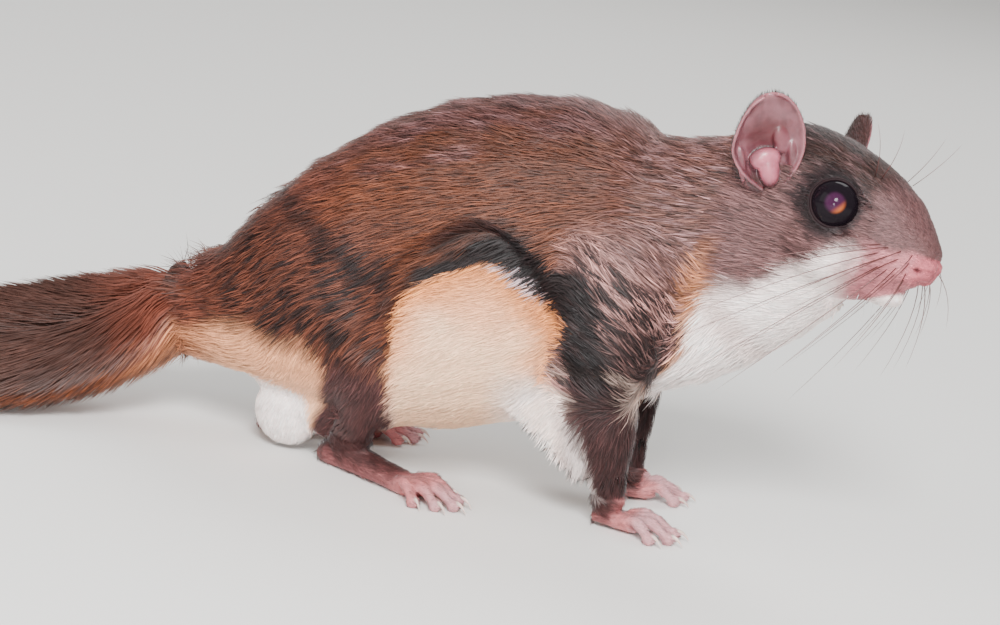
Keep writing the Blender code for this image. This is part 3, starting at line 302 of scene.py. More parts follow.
# Studio: the animal's middle in millimetres, and each light's place from it in metres, its power and its size
STAGE_MIDDLE = Vector((10.0, 0.0, 35.0))
FLOOR_SIZE = 6.0
SKY_COLOUR, SKY_STRENGTH = (1.0, 0.99, 0.97, 1.0), 0.6
LIGHTS = [
    ("key", (0.12, -0.80, 0.55), 20.0, 0.30),
    ("fill", (-0.8, -0.5, 0.45), 3.6, 0.8),
    ("rim", (0.2, 0.7, 0.9), 7.0, 0.6),
    ("front", (0.02, -0.45, 0.06), 0.9, 0.03),
]


class SquirrelSizes(bpy.types.PropertyGroup):
    skin_voxel: bpy.props.FloatProperty(
        name="Skin grain",
        description="Size of the squares that the skin is first built from, in millimetres",
        default=0.52,
        min=0.3,
        max=1.0,
    )
    foot_voxel: bpy.props.FloatProperty(
        name="Foot grain",
        description="The same for the feet, which are finer, in millimetres",
        default=0.32,
        min=0.2,
        max=1.0,
    )
    seam_growth: bpy.props.FloatProperty(
        name="Seam growth",
        description="How far each parted solid grows to close its cuts, in millimetres",
        default=0.35,
        min=0.0,
        max=1.0,
    )
    coat_share: bpy.props.FloatProperty(
        name="Coat depth",
        description="Depth of the coat over the skin, as a share of the hair's length",
        default=0.36,
        min=0.1,
        max=0.6,
        subtype="FACTOR",
    )
    under_tufts: bpy.props.IntProperty(
        name="Under tufts",
        description="How many short straight tufts cover the skin",
        default=150000,
        min=1000,
    )
    top_tufts: bpy.props.IntProperty(
        name="Top tufts",
        description="How many longer bent tufts lie over them",
        default=54000,
        min=1000,
    )
    tail_tufts: bpy.props.IntProperty(
        name="Tail tufts",
        description="How many tufts of long hair the tail carries",
        default=20000,
        min=500,
    )
    whisker_radius: bpy.props.FloatProperty(
        name="Whisker radius",
        description="Radius of a whisker at its root, in millimetres",
        default=0.1,
        min=0.02,
    )


class SquirrelColours(bpy.types.PropertyGroup):
    floor: bpy.props.FloatVectorProperty(
        name="Floor",
        description="Colour of the plain floor",
        default=(0.78, 0.77, 0.75),
        size=3,
        subtype="COLOR",
    )
    eye: bpy.props.FloatVectorProperty(
        name="Eye",
        description="Colour of the eyeball",
        default=(0.006, 0.004, 0.006),
        size=3,
        subtype="COLOR",
    )
    # Painted eyeshine: the purple of light reflected deep in the eye, painted as colour
    eyeshine: bpy.props.FloatVectorProperty(
        name="Eyeshine",
        description="Colour that glows deep in the eye",
        default=(0.034, 0.009, 0.028),
        size=3,
        subtype="COLOR",
    )
    claw: bpy.props.FloatVectorProperty(
        name="Claw",
        description="Colour of the claws",
        default=linear(214, 190, 180),
        size=3,
        subtype="COLOR",
    )
    whisker: bpy.props.FloatVectorProperty(
        name="Whisker",
        description="Colour of the whiskers",
        default=linear(74, 40, 38),
        size=3,
        subtype="COLOR",
    )


def head_matrix():
    """Place and turn of the head's own axes in the animal's."""
    turn = (
        Matrix.Rotation(math.radians(HEAD_YAW), 4, "Z")
        @ Matrix.Rotation(math.radians(HEAD_PITCH), 4, "Y")
        @ Matrix.Rotation(math.radians(HEAD_ROLL), 4, "X")
    )
    return Matrix.Translation(HEAD_PLACE) @ turn


def on_side(point, side):
    """A point of the head's left half, or its mirror image on the right for side -1."""
    return Vector((point[0], point[1] * side, point[2]))


HEAD_AXES = head_matrix()
EYE_LOW, EYE_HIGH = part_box("eye_right")
SHIFT = (EYE_LOW + EYE_HIGH) / 2 / MM - HEAD_AXES @ on_side(EYE_CENTRE, -1)
TO_FRAME = Matrix.Scale(MM, 4) @ Matrix.Translation(SHIFT)
FROM_FRAME = TO_FRAME.inverted()


def deselect():
    """Leaves edit mode and clears the selection."""
    if bpy.context.mode != "OBJECT":
        bpy.ops.object.mode_set(mode="OBJECT")
    bpy.ops.object.select_all(action="DESELECT")


def make_active(item):
    """Makes one object the only selected one and the active one."""
    deselect()
    item.select_set(True)
    bpy.context.view_layer.objects.active = item
    return item


def add_object(name, mesh):
    """Puts a mesh into the scene as an object."""
    made = bpy.data.objects.new(name, mesh)
    bpy.context.scene.collection.objects.link(made)
    return made


def apply_modifier(item, name, kind, **settings):
    """Adds a modifier with its settings and applies it."""
    make_active(item)
    modifier = item.modifiers.new(name, kind)
    for key, value in settings.items():
        setattr(modifier, key, value)
    bpy.ops.object.modifier_apply(modifier=modifier.name)
    return item


def join(items, name):
    """Joins several objects into the first one."""
    deselect()
    for item in items:
        item.select_set(True)
    bpy.context.view_layer.objects.active = items[0]
    bpy.ops.object.join()
    items[0].name = name
    items[0].data.name = name
    return items[0]


def turn_faces_out(item):
    """Turns all faces of a closed mesh outward."""
    make_active(item)
    bpy.ops.object.mode_set(mode="EDIT")
    bpy.ops.mesh.select_all(action="SELECT")
    bpy.ops.mesh.normals_make_consistent(inside=False)
    bpy.ops.object.mode_set(mode="OBJECT")


def unwrap(item, gap):
    """Lays a mesh's faces out as patches with a gap between them, and shades it smooth."""
    make_active(item)
    bpy.ops.object.mode_set(mode="EDIT")
    bpy.ops.mesh.select_all(action="SELECT")
    bpy.ops.uv.smart_project(angle_limit=math.radians(66), island_margin=gap)
    bpy.ops.object.mode_set(mode="OBJECT")
    item.data.uv_layers[0].name = "OFBake"
    bpy.ops.object.shade_smooth()


def add_ball(centre, radii, place=Matrix.Identity(4), segments=24, rings=16):
    """A closed ball stretched to three radii, in the axes of place."""
    deselect()
    bpy.ops.mesh.primitive_uv_sphere_add(segments=segments, ring_count=rings, radius=1.0)
    ball = bpy.context.object
    ball.data.transform(place @ Matrix.Translation(centre) @ Matrix.Diagonal((*radii, 1.0)))
    return ball


def add_loft(rings):
    """A disc extruded from ring to ring. The rings are lists of as many points each."""
    deselect()
    count = len(rings[0])
    bpy.ops.mesh.primitive_circle_add(vertices=count, radius=1.0, fill_type="NGON")
    loft = bpy.context.object
    bpy.ops.object.mode_set(mode="EDIT")
    shape = bmesh.from_edit_mesh(loft.data)
    for vertex, point in zip(list(shape.verts), rings[0]):
        vertex.co = point
    bmesh.update_edit_mesh(loft.data)
    for before, ring in zip(rings, rings[1:]):
        bpy.ops.mesh.extrude_region_move()
        shape = bmesh.from_edit_mesh(loft.data)
        fresh = [vertex for vertex in shape.verts if vertex.select]
        order = [
            min(range(count), key=lambda k: (before[k] - vertex.co).length_squared) for vertex in fresh
        ]
        for vertex, k in zip(fresh, order):
            vertex.co = ring[k]
        bmesh.update_edit_mesh(loft.data)
    bpy.ops.mesh.select_all(action="SELECT")
    bpy.ops.mesh.normals_make_consistent(inside=False)
    bpy.ops.object.mode_set(mode="OBJECT")
    return loft


def ring_points(centre, across, up, half, above, below, count=24, fullness=2.25):
    """A ring of points, squarer the fuller it is, that may reach further above its centre than below."""
    points = []
    for k in range(count):
        angle = 2 * math.pi * k / count
        c, s = math.cos(angle), math.sin(angle)
        side = math.copysign(abs(c) ** (2 / fullness), c)
        height = math.copysign(abs(s) ** (2 / fullness), s)
        points.append(centre + across * (half * side) + up * ((above if s > 0 else below) * height))
    return points


def smooth_path(points, steps):
    """Points read from a Catmull-Rom curve through the given ones."""
    path = [Vector(p) for p in points]
    path = [2 * path[0] - path[1]] + path + [2 * path[-1] - path[-2]]
    made = []
    for k in range(1, len(path) - 2):
        a, b, c, d = path[k - 1 : k + 3]
        for step in range(steps):
            t = step / steps
            squared = 2 * a - 5 * b + 4 * c - d
            cubed = 3 * b - a - 3 * c + d
            made.append(0.5 * (2 * b + (c - a) * t + squared * t * t + cubed * t ** 3))
    made.append(path[-2])
    return made


def add_tube(points, across_radii, up_radii, upward=Vector((0, 0, 1)), count=14):
    """A closed tube of oval section along a line of points."""
    rings = []
    for k, point in enumerate(points):
        ahead = (points[min(k + 1, len(points) - 1)] - points[max(k - 1, 0)]).normalized()
        across = upward.cross(ahead).normalized()
        up = ahead.cross(across).normalized()
        rings.append(ring_points(point, across, up, across_radii[k], up_radii[k], up_radii[k], count, 2.0))
    return add_loft(rings)


def finish_piece(piece, name, slot, material, *replaced):
    """Moves a finished mesh into the frame, names it, gives it its material, hangs it on the body and hides
    the parts that it replaces.
    """
    piece.name = name
    piece.data.name = name
    piece.data.transform(TO_FRAME)
    piece.data.materials.clear()
    piece.data.materials.append(material)
    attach(piece, BODY)
    if replaced:
        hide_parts(*replaced)
    return piece


# Reading places on the animal, all points at once


def ease(low, high, value):
    """Rises softly from 0 at low to 1 at high, or falls where high is the smaller."""
    t = np.clip((value - low) / (high - low), 0.0, 1.0)
    return t * t * (3 - 2 * t)


def in_axes(points, axes):
    """Points as they are read in other axes."""
    inverse = np.array(axes.inverted())
    return points @ inverse[:3, :3].T + inverse[:3, 3]


def turned(directions, axes):
    """Directions of those axes as they point in the animal's."""
    return directions @ np.array(axes)[:3, :3].T


def border_at(border, place):
    """Where a border lies at each place, read between its given points."""
    return np.interp(place, *zip(*border))


def unit(vectors, least=1e-6):
    """The vectors at a length of one."""
    return vectors / np.maximum(np.linalg.norm(vectors, axis=1), least)[:, None]


def line_distance(points, line):
    """Distance of each point from a line through several places, and the line's direction there."""
    nearest = np.full(len(points), 1e9)
    direction = np.zeros((len(points), 3))
    line = [np.array(p, float) for p in line]
    for a, b in zip(line, line[1:]):
        run = b - a
        t = np.clip((points - a) @ run / (run @ run), 0, 1)
        away = np.linalg.norm(points - a - t[:, None] * run, axis=1)
        closer = away < nearest
        nearest = np.where(closer, away, nearest)
        direction[closer] = run / np.linalg.norm(run)
    return nearest, direction


def waves(points, size, seed):
    """Smooth noise from -1 to 1 whose patches are about size across."""
    rng = np.random.default_rng(seed)
    total = np.zeros(len(points))
    for _ in range(6):
        direction = rng.normal(size=3)
        direction *= rng.uniform(0.7, 1.5) / np.linalg.norm(direction)
        total += np.sin(points @ direction * (2 * math.pi / (2 * size)) + rng.uniform(0, 2 * math.pi))
    return np.clip(total / 2.6, -1, 1)


def foot_axes(foot):
    """Heel and ball of a foot on the floor, the way it points and the way to its left."""
    heel, ball = Vector((*foot["heel"], 0.0)), Vector((*foot["ball"], 0.0))
    forward = (ball - heel).normalized()
    return heel, ball, forward, Vector((0, 0, 1)).cross(forward)


def toe_paths(foot, toes, inner_side):
    """The line of each toe from its root over the knuckle to its pad, with the way it points."""
    _, ball, forward, left = foot_axes(foot)
    made = []
    for spread, length in toes:
        turn = Matrix.Rotation(math.radians(TOE_FAN * spread * inner_side), 3, "Z")
        ahead = turn @ forward
        start = ball + left * (foot["half"] * 0.78 * spread * inner_side) - forward * (1.2 * abs(spread))
        root = start - ahead * 1.6 + Vector((0, 0, 1.7))
        base = start + Vector((0, 0, 2.0))
        knuckle = start + ahead * (length * 0.45) + Vector((0, 0, 3.0))
        pad = start + ahead * length + Vector((0, 0, TOE_PAD_RADIUS - SOLE_SINK))
        made.append(([root, base, knuckle, pad], ahead))
    return made


def mirror_limb(stations, side, shift):
    """The stations of a right leg on one side, moved along the body."""
    return [(Vector((c[0] + shift, c[1] * -side, c[2])), across, deep) for c, across, deep in stations]


LOWER_LEGS = [
    ("shank_right", mirror_limb(SHANK, -1, 0.0), HIND_FOOT_RIGHT),
    ("shank_left", mirror_limb(SHANK, 1, FAR_SHANK_SHIFT), HIND_FOOT_LEFT),
    ("forearm_right", mirror_limb(FOREARM, -1, 0.0), FORE_FOOT_RIGHT),
    ("forearm_left", mirror_limb(FOREARM, 1, FAR_FORELEG_SHIFT), FORE_FOOT_LEFT),
]
UPPER_ENDS = {
    "shank_right": Vector((-7.4, -16.5, 22.0)),
    "shank_left": Vector((-22.2, 16.5, 22.0)),
    "forearm_right": Vector((31.4, -14.6, 23.0)),
    "forearm_left": Vector((32.0, 14.6, 23.0)),
}


def signed_margin(points):
    """Distance from the membrane's margin in the side view: positive under its arch."""
    outline = np.array([(p.x, p.z) for p in smooth_path(ARCH_BORDER, 3)])
    x, z = points[:, 0], points[:, 2]
    nearest = np.full(len(points), 1e9)
    inside = np.zeros(len(points), bool)
    for k in range(len(outline)):
        (ax, az), (bx, bz) = outline[k], outline[(k + 1) % len(outline)]
        crossing = (az > z) != (bz > z)
        with np.errstate(divide="ignore", invalid="ignore"):
            inside ^= crossing & (x < (bx - ax) * (z - az) / (bz - az) + ax)
        if k == len(outline) - 1:
            continue
        t = np.clip(((x - ax) * (bx - ax) + (z - az) * (bz - az)) / ((bx - ax) ** 2 + (bz - az) ** 2), 0, 1)
        nearest = np.minimum(nearest, np.hypot(x - ax - t * (bx - ax), z - az - t * (bz - az)))
    return np.where(inside, nearest, -nearest)


def read_places(points):
    """How much each point belongs to each part of the animal, from 0 to 1, with a few distances."""
    x, y, z = points.T
    head = in_axes(points, HEAD_AXES)
    centre = np.array([-2.0, 0.0, -2.5])
    near_head = ease(27.0, 21.0, np.linalg.norm(head - centre, axis=1))
    places = {"local": head, "head": near_head * ease(-18.0, -13.0, head[:, 0])}
    places["margin"] = signed_margin(points)
    places["feet"] = np.zeros(len(points))
    places["legs"] = np.zeros(len(points))
    places["foot_lie"] = np.zeros_like(points)
    places["foot_share"] = np.zeros(len(points))
    places["leg_lie"] = np.zeros_like(points)
    for name, stations, foot in LOWER_LEGS:
        heel, ball, forward, _ = foot_axes(foot)
        away, direction = line_distance(points, [heel, ball, ball + forward * 10.0])
        reach = ease(9.0, 6.0, away) * ease(8.5, 5.0, z)
        share = (points - np.array(heel)) @ np.array(forward) / ((ball - heel).length + 4.0)
        share += 0.42 if name.startswith("forearm") else 0.0
        places["foot_share"] = np.where(reach > places["feet"], share, places["foot_share"])
        places["feet"] = np.maximum(places["feet"], reach)
        places["foot_lie"] += direction * reach[:, None]
        bone = [UPPER_ENDS[name], stations[0][0], stations[1][0]]
        away, direction = line_distance(points, bone)
        reach = ease(8.0, 4.5, away) * ease(25.0, 17.0, z) * (1.0 - reach)
        places["legs"] = np.maximum(places["legs"], reach)
        places["leg_lie"] += direction * reach[:, None]
    pouch = np.linalg.norm((points - np.array(POUCH)) / (6.6, 6.2, 7.4), axis=1)
    places["pouch"] = ease(1.3, 1.05, pouch) * ease(17.0, 13.0, z) * ease(2.0, -1.0, y - 3.0)
    along, _ = line_distance(points, TAIL)
    places["tail"] = ease(-42.0, -46.0, x) * ease(16.0, 12.0, along)
    eyes = []
    for side in (1, -1):
        eye = np.array(on_side(EYE_CENTRE, side) + on_side(EYE_AXIS, side) * 2.0)
        eyes.append(np.linalg.norm(head - eye, axis=1))
    places["eye_distance"] = np.minimum(*eyes)
    return places


def hair_length(points, places):
    """Length of the hair at each point, in millimetres."""
    x, _, z = points.T
    hx = places["local"][:, 0]
    length = 4.3 - 0.7 * ease(46.0, 62.0, z) + 0.8 * ease(-20.0, -38.0, x)
    length -= 1.7 * ease(-0.5, 2.0, places["margin"])
    length -= 1.5 * ease(-10.0, -16.0, x) * ease(24.0, 18.0, z)
    face = 3.0 - 1.3 * ease(-4.0, 6.0, hx) - 0.8 * ease(6.0, 12.0, hx) - 0.4 * ease(12.0, 15.5, hx)
    face = face * (0.45 + 0.55 * ease(3.8, 7.5, places["eye_distance"]))
    length = length + (face - length) * places["head"]
    length = length + (1.7 + 1.7 * ease(5.0, 12.0, z) - length) * places["legs"]
    foot = 1.8 - 0.9 * ease(0.5, 0.85, places["foot_share"])
    length = length + (foot - length) * places["feet"]
    return length + (1.8 - length) * places["pouch"]


def coat_depth(points, places, share):
    """How deep the skin lies under the coat's outline, in millimetres."""
    depth = hair_length(points, places) * share
    depth = depth * (1.0 - 0.35 * places["legs"]) * (1.0 - 0.5 * places["feet"])
    depth = depth * (1.0 - 0.6 * ease(5.0, 14.0, places["local"][:, 0]) * places["head"])
    return depth * (1.0 - places["tail"])


def bent(flow, amount, direction):
    """A flow turned towards a direction, by an amount from 0 to 1 at each point."""
    return flow * (1 - amount[:, None]) + np.array(direction) * amount[:, None]


def shoulder_share(points):
    """How much each point belongs to the shoulder and the upper foreleg."""
    x, _, z = points.T
    share = ease(20.0, 26.0, x) * ease(48.0, 40.0, x - 0.25 * (z - 30.0))
    return share * ease(54.0, 44.0, z) * ease(10.0, 15.0, z)


def along_skin(flow, normals):
    """A flow laid flat on the skin, at a length of one."""
    flow = flow - normals * np.sum(flow * normals, axis=1)[:, None]
    size = np.linalg.norm(flow, axis=1)[:, None]
    spare = np.cross(normals, np.array([0.0, 1.0, 0.0]))
    return unit(np.where(size < 0.05, spare, flow))


def coat_lie(points, normals, places):
    """The way that the hair lies at each point, along the skin."""
    x, y, z = points.T
    margin = places["margin"]
    flow = np.zeros_like(points) + FLANK_LIE
    flow = bent(flow, ease(40.0, 64.0, z), BACK_LIE)
    flow = bent(flow, ease(28.0, 40.0, x) * ease(40.0, 50.0, z), NECK_LIE)
    flow = bent(flow, shoulder_share(points), SHOULDER_LIE)
    chest = border_at(NECK_BORDER, z) - 2.0
    flow = bent(flow, ease(-1.5, 1.5, x - chest) * ease(60.0, 54.0, z), CHEST_LIE)
    belly = ease(0.5, 3.0, margin) + ease(0.2, -0.3, normals[:, 2]) * ease(22.0, 14.0, z)
    flow = bent(flow, np.clip(belly, 0, 1), BELLY_LIE)
    flow = bent(flow, ease(0.2, 2.0, margin) * ease(14.0, 19.0, x) * ease(26.0, 20.0, z), WEB_LIE)
    flow = bent(flow, ease(3.0, -6.0, x) * ease(34.0, 16.0, z) * ease(-30.0, -20.0, x), THIGH_LIE)
    flow = bent(flow, ease(-24.0, -32.0, x) * ease(30.0, 24.0, z), RUMP_LIE)
    head = np.zeros_like(points) + (-1.0, 0.0, -0.05)
    head[:, 1] = 0.18 * np.sign(y)
    flow = flow * (1 - places["head"][:, None]) + turned(head, HEAD_AXES) * places["head"][:, None]
    legs = places["legs"][:, None]
    flow = flow * (1 - legs) + places["leg_lie"] + np.array([-0.35, 0.0, 0.0]) * legs
    flow = flow * (1 - places["feet"][:, None]) + places["foot_lie"]
    return along_skin(bent(flow, places["pouch"], POUCH_LIE), normals)


def streaks(points, direction, wide, long, seed):
    """Noise from -1 to 1 drawn out along the hair."""
    direction = np.array(direction) / np.linalg.norm(direction)
    along = points @ direction
    squeezed = points - along[:, None] * direction * (1 - wide / long)
    return waves(squeezed, wide, seed)


# Markings with painted sheen and shade, each a named shade laid over the ones before by an amount from 0 to 1


def painter(count, ground):
    """Colours of as many points in a ground shade, and the function that lays other shades over them."""
    colour = np.tile(np.array(SHADES[ground]), (count, 1))

    def paint(name, amount):
        share = np.clip(amount, 0, 1)[:, None]
        colour[:] = colour * (1 - share) + np.array(SHADES[name]) * share

    return colour, paint


def paint_back(paint, at):
    """The brown back, flank and rump in streaks along the hair, with painted sheen on the up-facing fur, and
    the dark thigh.
    """
    x, _, z = at["points"].T
    grain, fine, streak, margin = at["grain"], at["fine"], at["flank_streak"], at["margin"]
    paint("flank", ease(60.0, 46.0, z) * (0.8 + 0.2 * grain))
    top_streak = streaks(at["points"], (-1.0, 0.0, -0.15), 0.6, 3.2, 7)
    # Painted sheen of the light from above: the up-facing fur is laid over with a greyer lilac and with light
    # streaks along the hair
    crest = ease(0.5, 0.95, at["normals"][:, 2] + 0.15 * grain)
    paint("crest", crest * 0.8)
    paint("sheen", crest * 0.36 * ease(0.0, 0.9, top_streak))
    paint("dark", (0.2 + 0.3 * crest) * ease(0.25, 0.95, -top_streak))
    paint("rump", ease(-8.0, -28.0, x) * (0.8 + 0.2 * fine))
    paint("dark", (0.25 + 0.2 * ease(10.0, -20.0, x)) * ease(0.2, 0.8, streak))
    thigh = ease(1.0, -7.0, x) * ease(47.0, 37.0, z + 2 * grain) * ease(-40.0, -30.0, x)
    paint("thigh", thigh * 0.9)
    paint("dark", thigh * 0.9 * ease(-0.1, 0.45, streak + 0.35 * grain))
    along, _ = line_distance(at["points"] * (1, 0, 1), THIGH_LINE)
    paint("dark", ease(2.6, 0.3, along + 0.6 * fine) * 0.75)
    # Above the arch the flank darkens in soft streaks
    over = ease(-10.0, -3.0, margin) * ease(34.0, 40.0, z) * ease(24.0, 12.0, x)
    paint("dark", over * 0.55 * ease(-0.3, 0.7, streak))
    above = ease(-7.5, -4.5, margin) * ease(36.0, 41.0, z) * ease(22.0, 15.0, x) * ease(0.0, 5.0, x)
    paint("dark", above * 0.6)


def paint_shoulder(paint, at):
    """The streaked shoulder, the dark elbow and the neck, whose light streaks are painted sheen."""
    x, _, z = at["points"].T
    streak = at["shoulder_streak"]
    shoulder = shoulder_share(at["points"])
    paint("shoulder", shoulder * 0.9)
    low = 0.3 * ease(46.0, 36.0, z)
    paint("dark", shoulder * 0.95 * ease(-0.2, 0.25, streak + 0.2 * at["grain"] + low))
    elbow = np.linalg.norm((at["points"] - np.array(ELBOW)) * (1, 0, 1), axis=1)
    paint("dark", shoulder * ease(9.5, 4.0, elbow) * ease(0.7, -0.2, streak) * 0.8)
    neck = ease(23.0, 44.0, x + 0.3 * (z - 45.0)) * ease(38.0, 46.0, z)
    paint("neck", neck * 0.85)
    neck_streak = streaks(at["points"], (-1.0, 0.0, -0.2), 0.6, 3.5, 9)
    paint("dark", neck * 0.7 * ease(0.1, 0.8, neck_streak))
    # Painted highlight: light streaks of sheen on the neck, between its dark streaks
    paint("sheen", neck * 0.55 * ease(0.1, 0.8, -neck_streak))


def paint_underside(paint, at):
    """Peach and cream under the rump and the arch of the membrane, white below the chest and neck."""
    x, _, z = at["points"].T
    grain, fine, margin = at["grain"], at["fine"], at["margin"]
    rear = ease(2.6, -2.4, z - border_at(REAR_BORDER, x) + 0.8 * grain) * ease(-7.0, -9.0, x)
    paint("peach", rear * 0.95)
    paint("cream", rear * ease(19.0, 11.0, z) * 0.5)
    paint("tail_fringe", rear * ease(-29.0, -42.0, x) * 0.85)
    under = ease(0.1, 0.9, margin + 0.25 * fine) * ease(52.0, 48.0, z) * ease(-6.5, -4.5, x)
    paint("peach", under)
    paint("orange", under * ease(8.0, 0.5, margin) * ease(24.0, 36.0, z + 2 * grain) * 0.9)
    paint("orange", under * ease(2.2, 0.4, margin) * ease(14.0, 22.0, z) * 0.5)
    paint("cream", under * ease(1.5, 8.0, margin) * ease(38.0, 29.0, z + 2 * grain) * 0.9)
    paint("white", under * ease(15.0, 8.0, z + 1.5 * grain) * 0.5)
    paint("white", under * ease(5.0, -1.0, x) * ease(20.0, 13.0, z + grain) * 0.6)
    paint("white", under * ease(16.0, 20.0, x) * ease(25.0, 19.0, z + grain) * 0.9)
    facing_down = ease(0.0, -0.4, at["normals"][:, 2])
    below = facing_down * ease(-6.0, 0.0, x) * ease(28.0, 20.0, z) * (1 - at["legs"])
    paint("cream", below)
    paint("white", below * ease(12.0, 20.0, x))
    border = x - border_at(NECK_BORDER, z) + 0.7 * grain + 0.5 * fine
    chest = ease(-0.8, 1.4, border) * ease(17.0, 21.0, z) * (1 - at["head"])
    edge = ease(-5.0, -0.8, border) * ease(60.0, 52.0, z)
    paint("orange", edge * ease(37.0, 46.0, z) * 0.75)
    paint("peach", ease(-1.6, -0.4, border) * ease(24.0, 28.0, z) * ease(46.0, 38.0, z) * 0.5)
    paint("white", chest)


def paint_margin(paint, at):
    """The black margin of the membrane, that widens into the patch on the rear of the foreleg."""
    x, y, z = at["points"].T
    margin = at["margin"]
    along, _ = line_distance(at["points"] * (1, 0, 1), BLACK_LINE)
    rough = along + 0.4 * at["fine"] + 0.4 * at["shoulder_streak"]
    band = ease(1.25, 0.7, rough / border_at(BLACK_WIDTH, x)) * ease(0.5, -0.1, margin)
    band *= ease(9.0, 12.0, np.abs(y)) * ease(-3.0, 1.0, x) * ease(54.0, 50.0, z)
    paint("dark", band * 0.97)
    lip = ease(0.0, 0.3, margin) * ease(1.5, 0.9, margin) * ease(10.0, 13.0, np.abs(y))
    lip *= ease(11.0, 13.0, x)
    paint("fringe", lip * 0.8 * ease(37.0, 38.5, z) * ease(21.0, 19.0, x))


def paint_head(paint, at):
    """The dark crown with painted sheen on the top of the head, the dark eye rings, the white cheek, the pink
    muzzle and nose, and painted shade in the nostrils.
    """
    hx, hy, hz = at["local"].T
    grain, fine, in_head = at["grain"], at["fine"], at["head"]
    light = border_at(CHEEK_BORDER, hx) - 0.7 - hz + 0.8 * grain + 0.4 * fine
    in_head_top = in_head * ease(-4.0, 3.0, hz)
    backward = turned(np.array([[-1.0, 0.0, 0.0]]), HEAD_AXES)[0]
    speckle = streaks(at["points"], backward, 0.5, 2.0, 15)
    paint("temple", in_head)
    paint("crown", in_head * ease(0.5, 5.0, hz + 0.5 * grain))
    paint("crown", in_head * ease(0.0, 0.8, speckle) * ease(1.0, -2.0, light) * 0.6)
    paint("dark", in_head * ease(6.2, 9.0, hz + 0.7 * fine) * 0.45)
    paint("dark", in_head_top * ease(0.3, 0.9, speckle) * 0.45)
    # Painted highlight: light streaks of sheen on the top of the head, between the dark speckles
    paint("sheen", in_head_top * ease(0.3, 0.9, -speckle) * 0.25)
    paint("bridge", in_head * ease(4.0, 10.0, hx) * ease(-5.5, -3.0, hz) * 0.85)
    paint("white", in_head * ease(-1.8, 3.0, light))
    ring = at["eye_distance"] - 1.2 * ease(0.0, -5.0, hx) * ease(3.0, 0.0, np.abs(hz + 1.5))
    paint("eye_ring", in_head * ease(7.4, 4.4, ring + 0.5 * grain) * 0.95)
    behind = np.hypot((hx + 3.2) * 0.55, hz + 9.4)
    paint("eye_ring", in_head * ease(2.0, 0.4, behind + 0.4 * fine) * 0.42)
    pink = ease(-3.4, -5.2, hz + 0.4 * fine)
    paint("muzzle", in_head * ease(5.5, 10.0, hx - 0.4 * (hz + 5.0) + 0.3 * grain) * pink)
    paint("nose", in_head * ease(12.5, 15.5, hx) * ease(-3.6, -4.6, hz) * 0.9)
    lip = in_head * ease(-10.3, -11.0, hz + 0.66 * (13.0 - hx)) * ease(15.5, 13.5, hx)
    paint("white", lip * 0.95)
    # Painted shade: the nostrils are darkened where their openings lie in shade
    from_nostril = np.stack([hx, np.abs(hy), hz], axis=1) - np.array(NOSTRIL)
    nostril = np.linalg.norm(from_nostril / (1.1, 0.9, 0.55), axis=1)
    paint("ear_hollow", in_head * ease(1.2, 0.4, nostril) * ease(10.0, 12.0, hx))


def paint_legs(paint, at):
    """The lower legs, dark in front and pale behind, and the pink feet."""
    x, _, z = at["points"].T
    fine, legs, feet = at["fine"], at["legs"], at["feet"]
    paint("leg", (legs + feet) * 1.4)
    paint("dark", legs * 0.35 * ease(0.1, 0.8, fine))
    rear = ease(0.15, 0.7, -at["normals"][:, 0]) * ease(21.0, 15.0, z)
    paint("white", legs * np.maximum(rear, ease(0.0, 0.8, at["margin"])) * ease(20.0, 26.0, x))
    paint("dark", legs * 0.45 * ease(20.0, 26.0, x))
    paint("foot", feet * ease(3.6, 0.8, z + 0.5 * fine) * 0.45)
    paint("foot", feet * ease(0.64, 0.86, at["foot_share"] + 0.04 * fine) * 0.95)
    paint("fringe", feet * ease(0.98, 1.2, at["foot_share"]) * 0.3)


def paint_rear(paint, at):
    """The white scrotum and the tail, dark above and buff below."""
    paint("white", at["pouch"])
    _, _, lift = tail_shares(at["points"])
    paint("tail_top", at["tail"])
    paint("tail_fringe", at["tail"] * ease(-0.05, -0.55, lift))


def coat_colour(points, normals, places):
    """The markings of the coat and of the bare skin, with their painted sheen and shade: the colour at each
    point.
    """
    colour, paint = painter(len(points), "back")
    at = {
        **places,
        "points": points,
        "normals": normals,
        "grain": waves(points, 5.0, 3),
        "fine": waves(points, 1.6, 4),
        "flank_streak": streaks(points, FLANK_LIE, 0.6, 3.4, 5),
        "shoulder_streak": streaks(points, SHOULDER_LIE, 0.6, 4.5, 6),
    }
    for paint_area in (
        paint_back, paint_shoulder, paint_underside, paint_margin, paint_head, paint_legs, paint_rear,
    ):
        paint_area(paint, at)
    return colour


def blend_list(values, share):
    """A value read from a list at a share of its length."""
    place = share * (len(values) - 1)
    k = min(int(place), len(values) - 2)
    return values[k] + (values[k + 1] - values[k]) * (place - k)


TAIL_PATH = smooth_path(TAIL, 6)
TAIL_LENGTH = sum((b - a).length for a, b in zip(TAIL_PATH, TAIL_PATH[1:]))
TAIL_STEPS = 60


